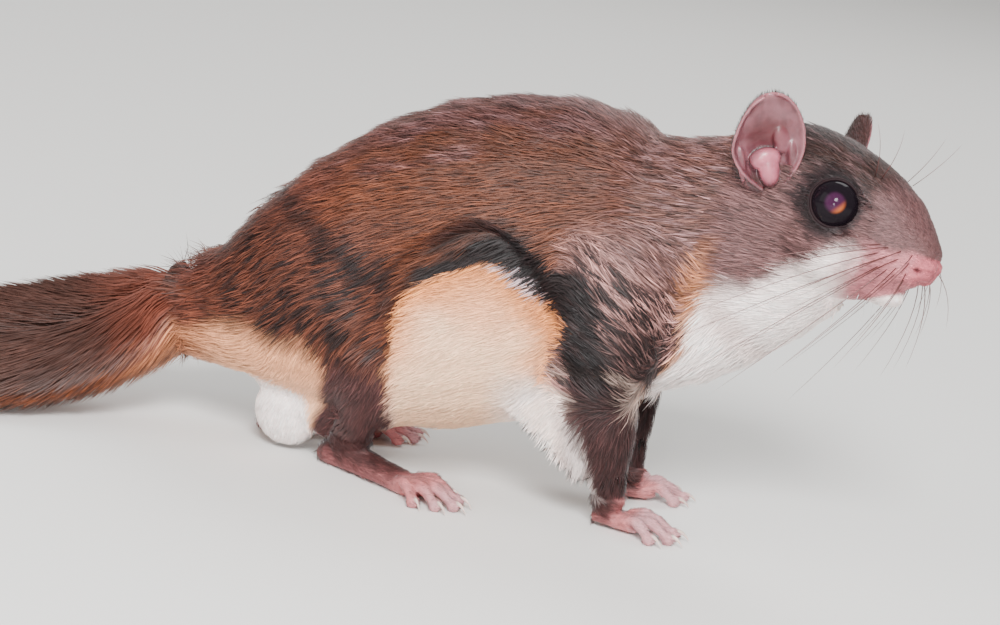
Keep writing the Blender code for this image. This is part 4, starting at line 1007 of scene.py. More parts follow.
def tail_frame(share):
    """Place, direction, sideways and upward reach of the tail's coat at a share of its length."""
    place = min(share, 1.0) * (len(TAIL_PATH) - 1)
    k = min(int(place), len(TAIL_PATH) - 2)
    back = (TAIL_PATH[min(k + 2, len(TAIL_PATH) - 1)] - TAIL_PATH[max(k - 1, 0)]).normalized()
    beyond = max(0.0, share - 1.0)
    point = TAIL_PATH[k].lerp(TAIL_PATH[k + 1], place - k) + back * (beyond * TAIL_LENGTH)
    side = back.cross(Vector((0, 0, 1))).normalized()
    up = side.cross(back).normalized()
    roll = Matrix.Rotation(math.radians(blend_list(TAIL_ROLL, min(share, 1.0))), 3, back)
    wide = blend_list(TAIL_SIDE_REACH, min(share, 1.0))
    high = blend_list(TAIL_UP_REACH, min(share, 1.0))
    return point, roll @ side * wide, roll @ up * high


def tail_table():
    """The tail's frames at even shares of its length, as arrays."""
    frames = [tail_frame(k / TAIL_STEPS) for k in range(TAIL_STEPS + 1)]
    return [np.array([frame_part[k] for frame_part in frames], float) for k in range(3)]


TAIL_POINTS, TAIL_SIDES, TAIL_UPS = tail_table()


def read_tail(shares):
    """The tail's place, side and up arrows at many shares at once, past its end too."""
    place = np.clip(shares, 0, 0.9999) * TAIL_STEPS
    k = place.astype(int)
    t = (place - k)[:, None]
    rows = [table[k] * (1 - t) + table[k + 1] * t for table in (TAIL_POINTS, TAIL_SIDES, TAIL_UPS)]
    end = TAIL_POINTS[-1] - TAIL_POINTS[-2]
    end /= np.linalg.norm(end)
    rows[0] = rows[0] + np.maximum(shares - 1.0, 0)[:, None] * TAIL_LENGTH * end
    return rows


def tail_shares(points):
    """For each point near the tail: its share along it, across it and above it."""
    best = np.zeros(len(points), int)
    nearest = np.full(len(points), 1e9)
    for k, place in enumerate(TAIL_POINTS):
        away = np.linalg.norm(points - place, axis=1)
        closer = away < nearest
        best[closer] = k
        nearest = np.minimum(nearest, away)
    offset = points - TAIL_POINTS[best]
    side, up = TAIL_SIDES[best], TAIL_UPS[best]
    across = np.sum(offset * side, axis=1) / np.sum(side * side, axis=1)
    lift = np.sum(offset * up, axis=1) / np.sum(up * up, axis=1)
    return best / TAIL_STEPS, across, lift


# Materials


def new_material(name, roughness, specular=0.5):
    """A material with its node tree and its Principled shader."""
    found = bpy.data.materials.new(name)
    found.use_nodes = True
    shader = found.node_tree.nodes["Principled BSDF"]
    shader.inputs["Roughness"].default_value = roughness
    shader.inputs["Specular IOR Level"].default_value = specular
    return found, found.node_tree, shader


def node(tree, kind, **values):
    """A new node with values for its inputs or its settings."""
    made = tree.nodes.new(kind)
    for key, value in values.items():
        if key in made.inputs:
            made.inputs[key].default_value = value
        else:
            setattr(made, key, value)
    return made


def add_texture(tree, kind, **values):
    """A texture node that is read at the mesh's own places."""
    place = node(tree, "ShaderNodeTexCoord")
    texture = node(tree, kind, **values)
    tree.links.new(place.outputs["Object"], texture.inputs["Vector"])
    return texture


def add_range(tree, value, from_range, to_range=(0.0, 1.0), interpolation="LINEAR"):
    """A value carried from one range to another."""
    scaled = node(tree, "ShaderNodeMapRange", interpolation_type=interpolation)
    scaled.inputs["From Min"].default_value, scaled.inputs["From Max"].default_value = from_range
    scaled.inputs["To Min"].default_value, scaled.inputs["To Max"].default_value = to_range
    tree.links.new(value, scaled.inputs["Value"])
    return scaled.outputs["Result"]


def mix_colours(tree, factor, first, second):
    """A blend of two colours by a factor. The second one may also come from another node."""
    mix = node(tree, "ShaderNodeMix", data_type="RGBA")
    mix.inputs["A"].default_value = (*first, 1)
    if isinstance(second, bpy.types.NodeSocket):
        tree.links.new(second, mix.inputs["B"])
    else:
        mix.inputs["B"].default_value = (*second, 1)
    tree.links.new(factor, mix.inputs["Factor"])
    return mix.outputs["Result"]


def add_bump(tree, shader, height, strength, distance):
    """Fine relief on a shader from a height."""
    bump = node(tree, "ShaderNodeBump", Strength=strength, Distance=distance)
    tree.links.new(height, bump.inputs["Height"])
    tree.links.new(bump.outputs["Normal"], shader.inputs["Normal"])


def attribute_colour(tree, shader, scale, contrast):
    """Base colour from the colours painted on the mesh, varied a little by fine noise."""
    marking = node(tree, "ShaderNodeAttribute", attribute_name="markings")
    noise = add_texture(tree, "ShaderNodeTexNoise", Scale=scale, Detail=3.0)
    spread = add_range(tree, noise.outputs["Fac"], (0.3, 0.7), (1.0 - contrast, 1.0 + contrast))
    mix = node(tree, "ShaderNodeVectorMath", operation="SCALE")
    tree.links.new(marking.outputs["Color"], mix.inputs[0])
    tree.links.new(spread, mix.inputs["Scale"])
    tree.links.new(mix.outputs["Vector"], shader.inputs["Base Color"])
    return noise.outputs["Fac"]


def add_flesh_glow(shader, weight, radius):
    """Light that scatters a little below bare skin."""
    shader.inputs["Subsurface Weight"].default_value = weight
    shader.inputs["Subsurface Radius"].default_value = radius
    shader.inputs["Subsurface Scale"].default_value = 0.0008


def skin_material():
    """Dull skin with fine pores."""
    made, tree, shader = new_material("skin", 0.62, 0.35)
    add_flesh_glow(shader, 0.25, (1.0, 0.35, 0.25))
    attribute_colour(tree, shader, 900.0, 0.14)
    pores = add_texture(tree, "ShaderNodeTexVoronoi", Scale=2600.0)
    add_bump(tree, shader, pores.outputs["Distance"], 0.35, 0.00012)
    return made


def ear_material():
    """Thin shiny skin."""
    made, tree, shader = new_material("ear_skin", 0.32, 0.5)
    add_flesh_glow(shader, 0.3, (1.0, 0.3, 0.25))
    noise = attribute_colour(tree, shader, 600.0, 0.22)
    add_bump(tree, shader, noise, 0.4, 0.0002)
    return made


def coat_material(name, roughness=0.55):
    """Hair with a faint sheen."""
    made, tree, shader = new_material(name, roughness, 0.3)
    shader.inputs["Sheen Weight"].default_value = 0.12
    shader.inputs["Sheen Roughness"].default_value = 0.4
    noise = attribute_colour(tree, shader, 1400.0, 0.12)
    add_bump(tree, shader, noise, 0.15, 0.00005)
    return made


# Skin


def flesh_copy(name, growth):
    """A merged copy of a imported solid, in the animal's axes, grown a little so that its cuts close."""
    copy = add_object("flesh_" + name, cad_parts[name].data.copy())
    copy.data.transform(FROM_FRAME)
    make_active(copy)
    bpy.ops.object.mode_set(mode="EDIT")
    bpy.ops.mesh.select_all(action="SELECT")
    bpy.ops.mesh.remove_doubles(threshold=0.001)
    bpy.ops.transform.shrink_fatten(value=growth)
    bpy.ops.object.mode_set(mode="OBJECT")
    return copy


def head_flesh():
    """Skull, neck, chin and the masses of the face, as closed pieces to be fused."""
    across, up = Vector((0, 1, 0)), Vector((0, 0, 1))
    rings = [
        ring_points(Vector((x, 0, widest)), across, up, half, top - widest, widest - bottom, 40)
        for x, top, bottom, half, widest in HEAD
    ]
    skull = add_loft(rings)
    skull.data.transform(HEAD_AXES)
    throat_across = up.cross(NECK_AXIS).normalized()
    throat_up = NECK_AXIS.cross(throat_across).normalized()
    neck = [
        ring_points(Vector(centre), throat_across, throat_up, half, above, below)
        for centre, half, above, below in NECK
    ]
    pieces = [skull, add_loft(neck), add_ball(*CHIN, HEAD_AXES)]
    for side in (1, -1):
        for centre, radii in FACE_MASSES:
            pieces.append(add_ball(on_side(centre, side), radii, HEAD_AXES))
    return pieces


def foot_flesh(foot, toes, inner_side, soles, heel_balls):
    """Sole, heel and toes of a foot, as closed pieces to be fused."""
    heel, ball, forward, _ = foot_axes(foot)
    length = (ball - heel).length
    points = [
        heel + forward * (length * share) + Vector((0, 0, high - SOLE_SINK)) for share, _, high in soles
    ]
    widths = [foot["half"] * wide for _, wide, _ in soles]
    heights = [high * foot["top"] / 5.0 for _, _, high in soles]
    pieces = [add_tube(points, widths, heights)]
    for ahead, high, radii in heel_balls:
        pieces.append(add_ball(heel + forward * ahead + Vector((0, 0, high)), radii))
    for path, _ in toe_paths(foot, toes, inner_side):
        line = smooth_path(path, 4)
        radii = [TOE_RADIUS * (1.0 + 0.16 * math.sin(k * 1.57)) for k in range(len(line))]
        pieces.append(add_tube(line, radii, radii, count=10))
        pieces.append(add_ball(path[-1], (TOE_PAD_RADIUS,) * 3, segments=12, rings=8))
    return pieces


def lower_leg_flesh():
    """The four legs below the elbow and the knee, as closed pieces to be fused."""
    pieces = []
    for _, stations, _ in LOWER_LEGS:
        points = [centre for centre, _, _ in stations]
        pieces.append(add_tube(points, [s[2] for s in stations], [s[1] for s in stations], Vector((0, 1, 0))))
    return pieces


def tail_core():
    """The tail under its hair, swollen where it leaves the rump."""
    rings = []
    for k in range(25):
        share = (k / 24) ** 1.3 * 0.97
        point, side, up = tail_frame(share)
        swell = 0.4 * math.exp(-((share / 0.06) ** 2))
        wide, high = side.length * (TAIL_CORE_SHARE + swell), up.length * (TAIL_CORE_SHARE + swell)
        high = max(high, 1.1)
        rings.append(ring_points(point, side.normalized(), up.normalized(), wide, high, high, 16, 2.0))
    rings[0] = [p + Vector((2.0, 0, 1.0)) for p in rings[0]]
    return add_loft(rings)


def get_arrays(mesh):
    """A mesh's points and normals."""
    points = np.empty(len(mesh.vertices) * 3)
    normals = np.empty(len(mesh.vertices) * 3)
    mesh.vertices.foreach_get("co", points)
    mesh.vertices.foreach_get("normal", normals)
    return points.reshape(-1, 3), normals.reshape(-1, 3)


def set_points(mesh, points):
    """Moves a mesh's points, with none of them below the floor."""
    points[:, 2] = np.maximum(points[:, 2], 0.0)
    mesh.vertices.foreach_set("co", points.ravel())
    mesh.update()


def paint_vertices(mesh, colours):
    """Keeps painted colours on a mesh in its markings attribute."""
    layer = mesh.color_attributes.new("markings", "FLOAT_COLOR", "POINT")
    values = np.ones((len(colours), 4), np.float32)
    values[:, :3] = colours
    layer.data.foreach_set("color", values.ravel())



def refine_faces(item, wanted):
    """Subdivides the faces that wanted says, from their middles, so that small folds have a place."""
    make_active(item)
    middles = np.empty(len(item.data.polygons) * 3)
    item.data.polygons.foreach_get("center", middles)
    chosen = wanted(middles.reshape(-1, 3))
    bpy.ops.object.mode_set(mode="EDIT")
    bpy.ops.mesh.select_mode(type="FACE")
    bpy.ops.mesh.select_all(action="DESELECT")
    bpy.ops.object.mode_set(mode="OBJECT")
    item.data.polygons.foreach_set("select", chosen)
    bpy.ops.object.mode_set(mode="EDIT")
    bpy.ops.mesh.subdivide(number_cuts=1, smoothness=0.0)
    bpy.ops.mesh.select_mode(type="VERT")
    bpy.ops.object.mode_set(mode="OBJECT")


def face_detail_zone(middles):
    """Whether each place is near an eye or on the muzzle."""
    head = in_axes(middles, HEAD_AXES)
    near_eye = np.zeros(len(head), bool)
    for side in (1, -1):
        eye = np.array(on_side(EYE_CENTRE, side) + on_side(EYE_AXIS, side) * 2.5)
        near_eye |= np.linalg.norm(head - eye, axis=1) < 6.2
    muzzle = (head[:, 0] > 8.0) & (np.abs(head[:, 1]) < 9) & (np.abs(head[:, 2] + 5) < 10)
    return near_eye | muzzle


def sculpt_eye(head, side):
    """Presses in an eye's socket and raises the lids round its opening."""
    axis = np.array(on_side(EYE_AXIS, side))
    offset = head - np.array(on_side(EYE_CENTRE, side))
    away = np.maximum(np.linalg.norm(offset, axis=1), 1e-6)
    angle = np.degrees(np.arccos(np.clip(offset @ axis / away, -1, 1)))
    flat = unit(offset - np.outer(offset @ axis, axis))
    corner = np.array(LID_CORNER) - axis * (np.array(LID_CORNER) @ axis)
    corner /= np.linalg.norm(corner)
    toward = np.clip(flat @ corner, 0, 1) ** 6 + 0.5 * np.clip(-flat @ corner, 0, 1) ** 8
    opening = LID_OPENING + LID_CORNER_REACH * toward
    rim = np.exp(-(((angle - opening - 5.0) / 5.5) ** 2))
    zone = ease(9.0, 6.0, np.abs(away)) * ease(135.0, 115.0, angle)
    lid = EYE_RADIUS + 0.10 + 0.42 * rim
    wanted = np.where(angle < opening - 1.5, EYE_RADIUS - 0.75, np.maximum(away, lid))
    closeness = np.exp(-np.clip(angle - opening - 8.0, 0, None) / 14.0)
    pulled = wanted + (np.minimum(wanted, lid) - wanted) * closeness * 0.8
    wanted = np.where(angle > opening, pulled, wanted)
    head += (offset / away[:, None]) * ((wanted - away) * zone)[:, None]


def sculpt_nostril(head, side):
    """Presses in a nostril and raises the wing over it."""
    nostril = head - np.array(on_side(NOSTRIL, side))
    press = np.exp(-(np.linalg.norm(nostril / (1.5, 1.1, 0.62), axis=1) ** 2) * 1.3)
    head += np.outer(press, np.array([-0.85, -0.55 * side, 0.0]))
    wing = np.exp(-(np.linalg.norm((nostril - (0.1, 0.2 * side, 0.9)) / (1.6, 1.2, 0.6), axis=1) ** 2))
    head += np.outer(wing, np.array([0.18, 0.22 * side, 0.15]))


def sculpt_muzzle(head):
    """Presses in the mouth, the crease behind the nose pad and its cleft, and raises the lips and the pad."""
    left = [Vector(p) for p in MOUTH_LINE]
    mouth = smooth_path([*reversed([on_side(p, -1) for p in left]), *left[1:]], 3)
    away, _ = line_distance(head, mouth)
    inward = unit(np.array([9.0, 0.0, -8.0]) - head)
    lips = 0.62 * np.exp(-((away / 0.42) ** 2)) - 0.16 * np.exp(-(((away - 1.1) / 0.6) ** 2))
    head += inward * lips[:, None]
    crease = [*(on_side(p, -1) for p in NOSE_CREASE), *(Vector(p) for p in reversed(NOSE_CREASE[:-1]))]
    away, _ = line_distance(head, smooth_path(crease, 3))
    head += inward * (0.42 * np.exp(-((away / 0.6) ** 2)))[:, None]
    pad = np.linalg.norm((head - np.array(NOSE_PAD)) / (3.0, 3.0, 1.9), axis=1)
    head += np.outer(0.45 * ease(1.15, 0.7, pad), np.array([0.93, 0.0, -0.1]))
    split, _ = line_distance(head, NOSE_CLEFT)
    head += np.outer(0.34 * np.exp(-((split / 0.34) ** 2)), np.array([-1.0, 0.0, 0.2]))


def sculpt_face(points):
    """The face with its eye sockets, nostrils, mouth and nose."""
    head = in_axes(points, HEAD_AXES)
    for side in (1, -1):
        sculpt_eye(head, side)
        sculpt_nostril(head, side)
    sculpt_muzzle(head)
    matrix = np.array(HEAD_AXES)
    return head @ matrix[:3, :3].T + matrix[:3, 3]


def fuse(pieces, voxel, rounds, name="flesh"):
    """Fuses closed pieces into one surface and smooths it."""
    fused = join(pieces, name)
    apply_modifier(fused, "fuse", "REMESH", mode="VOXEL", voxel_size=voxel)
    return apply_modifier(fused, "soften", "SMOOTH", factor=0.5, iterations=rounds)


def sink_under_coat(item, share, growth):
    """Draws a surface in by the depth of the coat that it is going to carry."""
    points, normals = get_arrays(item.data)
    places = read_places(points)
    depth = coat_depth(points, places, share) + growth * 0.5 * (1 - places["feet"])
    points -= normals * depth[:, None]
    set_points(item.data, points)
    return apply_modifier(item, "settle", "SMOOTH", factor=0.5, iterations=2)


class SQUIRREL_OT_skin(bpy.types.Operator):
    """Builds the one skin that stands for all the parted flesh, inside it by the depth of the coat"""

    bl_idname = "squirrel.skin"
    bl_label = "Skin"

    def execute(self, context):
        sizes = context.scene.squirrel_sizes
        pieces = [flesh_copy(name, sizes.seam_growth) for name in FLESH_NODES]
        pieces += head_flesh() + lower_leg_flesh() + [tail_core(), add_ball(*INNER_THIGH)]
        body = fuse(pieces, sizes.skin_voxel, 7)
        pieces = lower_leg_flesh()
        for name, foot, toes, inner_side in FEET:
            kind = name.split("_")[0]
            pieces += foot_flesh(foot, toes, inner_side, SOLES[kind], HEEL_BALLS[kind])
        feet = fuse(pieces, sizes.foot_voxel, 6)
        for item in (body, feet):
            sink_under_coat(item, sizes.coat_share, sizes.seam_growth)
        skin = join([body, feet], "skin")
        refine_faces(skin, face_detail_zone)
        points, _ = get_arrays(skin.data)
        set_points(skin.data, sculpt_face(points))
        unwrap(skin, 0.002)
        points, normals = get_arrays(skin.data)
        paint_vertices(skin.data, coat_colour(points, normals, read_places(points)))
        finish_piece(skin, "skin", "bare_skin", skin_material(), *FLESH_NODES, *REBUILT_NODES)
        return {"FINISHED"}


# Coat


def sample_skin(skin, count, density_of, seed):
    """Roots spread over the skin by a density: their places, normals and places on the skin's unwrap."""
    mesh = skin.data
    mesh.calc_loop_triangles()
    total = len(mesh.loop_triangles)
    corners = np.empty(total * 3, int)
    loops = np.empty(total * 3, int)
    mesh.loop_triangles.foreach_get("vertices", corners)
    mesh.loop_triangles.foreach_get("loops", loops)
    corners, loops = corners.reshape(-1, 3), loops.reshape(-1, 3)
    points, normals = get_arrays(mesh)
    matrix = np.array(FROM_FRAME)
    points = points @ matrix[:3, :3].T + matrix[:3, 3]
    unwrap = np.empty(len(mesh.loops) * 2)
    mesh.uv_layers["OFBake"].data.foreach_get("uv", unwrap)
    unwrap = unwrap.reshape(-1, 2)
    a, b, c = (points[corners[:, k]] for k in range(3))
    area = np.linalg.norm(np.cross(b - a, c - a), axis=1) / 2
    middles = (a + b + c) / 3
    facing = normals[corners].mean(axis=1)
    weight = area * density_of(middles, facing)
    reach = np.cumsum(weight)
    rng = np.random.default_rng(seed)
    marks = (np.arange(count) + rng.uniform(0, 1, count)) / count * reach[-1]
    chosen = np.minimum(np.searchsorted(reach, marks), total - 1)
    u, v = rng.uniform(0, 1, (2, count))
    over = u + v > 1
    u[over], v[over] = 1 - u[over], 1 - v[over]
    share = np.stack([1 - u - v, u, v], axis=1)[:, :, None]
    roots = (points[corners[chosen]] * share).sum(axis=1)
    facing = (normals[corners[chosen]] * share).sum(axis=1)
    facing /= np.linalg.norm(facing, axis=1)[:, None]
    spots = (unwrap[loops[chosen]] * share).sum(axis=1)
    order = rng.permutation(count)
    return roots[order], facing[order], spots[order]


def turn_about(vectors, axes, angles):
    """Turns each vector about its own axis, at right angles to it."""
    return vectors * np.cos(angles)[:, None] + np.cross(axes, vectors) * np.sin(angles)[:, None]


def blade_faces(rings):
    """The triangles of one blade: its closed root, the sides between its rings, and its tip."""
    faces = [(0, 1, 2)]
    for k in range(rings - 1):
        low, high = 3 * k, 3 * k + 3
        for j in range(3):
            i = (j + 1) % 3
            faces += [(low + j, high + i, low + i), (low + j, high + j, high + i)]
    last = 3 * (rings - 1)
    faces += [(last + j, 3 * rings, last + (j + 1) % 3) for j in range(3)]
    return np.array(faces)


def mesh_of_triangles(name, points, faces):
    """A smooth mesh of triangles."""
    mesh = bpy.data.meshes.new(name)
    mesh.vertices.add(len(points))
    mesh.vertices.foreach_set("co", points.ravel())
    mesh.loops.add(len(faces) * 3)
    mesh.loops.foreach_set("vertex_index", faces.ravel().astype(np.int32))
    mesh.polygons.add(len(faces))
    mesh.polygons.foreach_set("loop_start", np.arange(0, len(faces) * 3, 3, dtype=np.int32))
    mesh.update(calc_edges=True)
    mesh.shade_smooth()
    return mesh


def build_blades(name, line, normals, widths, shades, spots):
    """One mesh of closed three-sided blades. line holds each blade's points from root to tip."""
    count, steps = line.shape[0], line.shape[1]
    rings = steps - 1
    per_blade = rings * 3 + 1
    vertices = np.empty((count, per_blade, 3), np.float32)
    colours = np.empty((count, per_blade, 3), np.float32)
    facing = np.empty((count, per_blade, 3), np.float32)
    root_width = 0.7 if rings > 1 else 1.0
    for k in range(rings):
        ahead = unit(line[:, min(k + 1, steps - 1)] - line[:, max(k - 1, 0)], 1e-9)
        across = unit(np.cross(ahead, normals), 1e-9)
        over = np.cross(across, ahead)
        profile = 1.0 - BLADE_TAPER * (k / rings) if k else root_width
        half = (widths * profile / 2)[:, None]
        vertices[:, 3 * k] = line[:, k] - across * half
        vertices[:, 3 * k + 1] = line[:, k] + across * half
        vertices[:, 3 * k + 2] = line[:, k] + over * half * BLADE_RIDGE
        colours[:, 3 * k : 3 * k + 3] = shades[:, k][:, None]
        for j, way in enumerate((-across, across, over)):
            facing[:, 3 * k + j] = way * BLADE_ROUNDING + normals
    vertices[:, -1] = line[:, -1]
    colours[:, -1] = shades[:, -1]
    facing[:, -1] = normals
    facing /= np.linalg.norm(facing, axis=2)[:, :, None]
    pattern = blade_faces(rings)
    faces = (pattern[None] + (np.arange(count) * per_blade)[:, None, None]).reshape(-1, 3)
    mesh = mesh_of_triangles(name, vertices.reshape(-1, 3), faces)
    mesh.normals_split_custom_set_from_vertices(facing.reshape(-1, 3))
    paint_vertices(mesh, colours.reshape(-1, 3))
    # Each blade is laid out as a small patch at its root's place on the skin's unwrap
    patch = [((k % 3 - 1) * 0.5, 2 * (k // 3) / rings - 1) for k in range(3 * rings)]
    places = spots[:, None] + np.array([*patch, (0.0, 1.0)])[None] * BLADE_PATCH
    places = places[:, pattern.ravel()].reshape(-1, 2)
    layer = mesh.uv_layers.new(name="OFBake")
    layer.data.foreach_set("uv", places.ravel().astype(np.float32))
    return add_object(name, mesh)


def build_hair(name, per_piece, slot, material, *columns):
    """Builds a layer of hair as several meshes. The columns are the arrays that build_blades takes."""
    for number, start in enumerate(range(0, len(columns[0]), per_piece)):
        rows = slice(start, start + per_piece)
        piece = build_blades(f"{name}_{number + 1}", *(column[rows] for column in columns))
        finish_piece(piece, piece.name, slot, material)


def clumped(line, roots, centres, pull):
    """Draws the ends of the blades together towards the middle of the clump that they belong to."""
    tree = kdtree.KDTree(len(centres))
    for k, centre in enumerate(centres):
        tree.insert(centre, k)
    tree.balance()
    clump = np.array([tree.find(root)[1] for root in roots])
    middle = centres[clump]
    for k in range(1, line.shape[1]):
        share = pull * k / (line.shape[1] - 1)
        line[:, k] += (middle - roots) * share[:, None]
    return clump


def coat_density(middles, facing):
    """How many roots a place takes: more where the hair is short, none on the eyes and on the tail."""
    places = read_places(middles)
    length = hair_length(middles, places)
    eyes = np.where(places["head"] > 0.5, ease(3.9, 4.6, places["eye_distance"]), 1.0)
    soles = 1.0 - 0.9 * places["feet"] * ease(-0.3, -0.7, facing[:, 2])
    toes = 1.0 - 0.6 * places["feet"] * ease(0.5, 0.8, places["foot_share"])
    return (4.0 / length) ** 1.2 * eyes * soles * toes * (1 - places["tail"])


def comb_coat(skin, count, seed, bends, stature):
    """Roots, lines, widths and shades of one layer of the coat."""
    rng = np.random.default_rng(seed)
    roots, normals, spots = sample_skin(skin, count, coat_density, seed)
    places = read_places(roots)
    shoulder = shoulder_share(roots) * (1 - places["head"]) * (1 - places["legs"])
    length = hair_length(roots, places) * rng.uniform(0.75, 1.2, count) * stature
    lie = coat_lie(roots, normals, places)
    swirl = np.radians(7.0 * waves(roots, 7.0, 8) + 5.0 * waves(roots, 2.2, 9)) + rng.normal(0, 0.09, count)
    lie = turn_about(lie, normals, swirl)
    lift = 0.46 + 0.08 * waves(roots, 4.0, 12) + rng.normal(0, 0.05, count)
    colour = coat_colour(roots, normals, places)
    pale = ease(0.22, 0.5, colour.mean(axis=1))
    lift = lift * (1.0 - 0.35 * places["head"]) * (1.0 - 0.25 * places["legs"]) * (1.0 - 0.35 * pale)
    line = [roots - normals * 0.15]
    for k in range(bends):
        slope = lift * (1.0 - 0.65 * k) - 0.04 * k if bends > 1 else lift * 0.7
        step = lie * np.cos(slope)[:, None] + normals * np.sin(slope)[:, None]
        line.append((line[-1] if k else roots) + step * (length / bends)[:, None])
    line = np.stack(line, axis=1)
    centres = roots[::7]
    pull = (0.30 + 0.42 * shoulder) * (1.0 - 0.5 * pale) * rng.uniform(0.7, 1.2, count)
    clump = clumped(line, roots, centres, pull)
    line[:, :, 2] = np.maximum(line[:, :, 2], 0.05)
    tone = rng.normal(0, 1, len(centres))[clump] * (0.09 + 0.10 * shoulder) + rng.normal(0, 0.12, count)
    # A few tufts are much darker or lighter than their neighbours, less so in the pale coat
    speck = rng.uniform(0, 1, count)
    tone = (tone + np.where(speck < 0.15, -0.6, np.where(speck > 0.85, 0.4, 0.0))) * (1.0 - 0.75 * pale)
    bright = colour.mean(axis=1)[:, None] ** 0.5
    gains = [0.42 + 0.52 * bright, 0.86 + 0.12 * bright, 1.14 - 0.04 * bright]
    if bends == 1:
        gains = [gains[0], gains[2]]
    shades = np.stack([colour * gain for gain in gains], axis=1) * np.exp(tone)[:, None, None]
    width = (0.12 + 0.026 * length) * rng.uniform(0.8, 1.25, count)
    return line, normals, width, np.clip(shades, 0, 1), spots


class SQUIRREL_OT_coat(bpy.types.Operator):
    """Covers the skin with layers of fine tufts that follow the lie of the coat"""

    bl_idname = "squirrel.coat"
    bl_label = "Coat"

    def execute(self, context):
        sizes = context.scene.squirrel_sizes
        skin = bpy.data.objects["skin"]
        material = coat_material("coat")
        for name, setting, seed, bends, stature, per_piece in COAT_LAYERS:
            hair = comb_coat(skin, getattr(sizes, setting), seed, bends, stature)
            build_hair(name, per_piece, "fur_brown", material, *hair)
        return {"FINISHED"}


def tail_lines(share, angle, rng):
    """Lines of the tail's tufts, from roots round its core out to its sides and along it."""
    count = len(share)
    across, lift = np.cos(angle), np.sin(angle)
    near, side, up = read_tail(share)
    core = TAIL_CORE_SHARE * 0.9
    line = [near + side * (across * core)[:, None] + up * (lift * core)[:, None]]
    span = rng.uniform(0.11, 0.17, count) * (1.0 - 0.45 * ease(0.88, 1.0, share))
    reach = rng.uniform(0.86, 1.03, count)
    flatten = np.sign(across) * np.abs(across) ** 0.55
    for step, out in ((0.3, 0.42), (0.65, 0.78), (1.0, 1.0)):
        near, side, up = read_tail(share + span * step)
        beyond = np.maximum(share + span * step - 0.94, 0)
        close = np.sqrt(np.clip(1 - (beyond / 0.16) ** 2, 0.02, 1))
        to_side = across * core + (flatten * reach - across * core) * out
        to_up = lift * core + (lift * 0.86 * reach - lift * core) * out
        line.append(near + side * (to_side * close)[:, None] + up * (to_up * close)[:, None])
    return np.stack(line, axis=1)


def tail_shades(share, lift, tone, rng):
    """Shades of the tail's tufts from root to tip: dark above, buff below, and the rump's near its root."""
    names = ("tail_top", "tail_fringe", "rump", "peach")
    dark, buff, rump, peach = (np.array(SHADES[name]) for name in names)
    near_root = ease(0.22, 0.02, share)[:, None]
    top = dark * (1 - near_root) + rump * near_root
    bottom = buff * (1 - near_root * 0.35) + peach * near_root * 0.35
    mixed = rng.normal(0, 0.22, len(share))
    shades = []
    for k, gain in enumerate((0.6, 0.85, 1.0, 1.2)):
        low = ease(0.25 + 0.06 * k, -0.6, lift + mixed)[:, None]
        shades.append((top * (1 - low) + bottom * low) * gain)
    return np.clip(np.stack(shades, axis=1) * tone[:, None, None], 0, 1)


def comb_tail(count):
    """The tufts of the tail, as the arrays that build_blades takes."""
    rng = np.random.default_rng(33)
    share = rng.uniform(0, 1, count) ** 0.9 - 0.015
    angle = rng.uniform(0, 2 * math.pi, count)
    across, lift = np.cos(angle), np.sin(angle)
    line = tail_lines(share, angle, rng)
    _, side, up = read_tail(share)
    outward = side / np.linalg.norm(side, axis=1)[:, None] * (across * 0.35)[:, None]
    outward += up / np.linalg.norm(up, axis=1)[:, None] * lift[:, None]
    outward /= np.linalg.norm(outward, axis=1)[:, None]
    centres = line[::14, 0]
    clump = clumped(line, line[:, 0].copy(), centres, np.full(count, 0.55))
    line[:, :, 2] = np.maximum(line[:, :, 2], 0.15 + 0.15 * rng.uniform(0, 1, count)[:, None])
    tone = np.exp(rng.normal(0, 1, len(centres))[clump] * 0.12 + rng.normal(0, 0.10, count))
    shades = tail_shades(share, lift, tone, rng)
    width = rng.uniform(0.26, 0.42, count)
    spots = np.stack([0.02 + 0.96 * np.clip(share, 0, 1), 0.02 + 0.96 * angle / (2 * math.pi)], axis=1)
    return line, outward, width, shades, spots


class SQUIRREL_OT_tail_hair(bpy.types.Operator):
    """Covers the tail with long hair that parts to both sides and lies along it"""

    bl_idname = "squirrel.tail_hair"
    bl_label = "Tail hair"

    def execute(self, context):
        hair = comb_tail(context.scene.squirrel_sizes.tail_tufts)
        build_hair("tail_hair", TAIL_TUFTS_A_PIECE, "fur_tail", coat_material("tail_hair", 0.5), *hair)
        return {"FINISHED"}


# Eyes


def rim_material():
    """Dark wet skin of the lids' rims."""
    made, tree, shader = new_material("lid_rim", 0.6, 0.12)
    noise = add_texture(tree, "ShaderNodeTexNoise", Scale=1600.0, Detail=3.0).outputs["Fac"]
    paint = mix_colours(tree, noise, linear(26, 17, 19), linear(36, 23, 26))
    tree.links.new(paint, shader.inputs["Base Color"])
    add_bump(tree, shader, noise, 0.5, 0.0001)
    return made


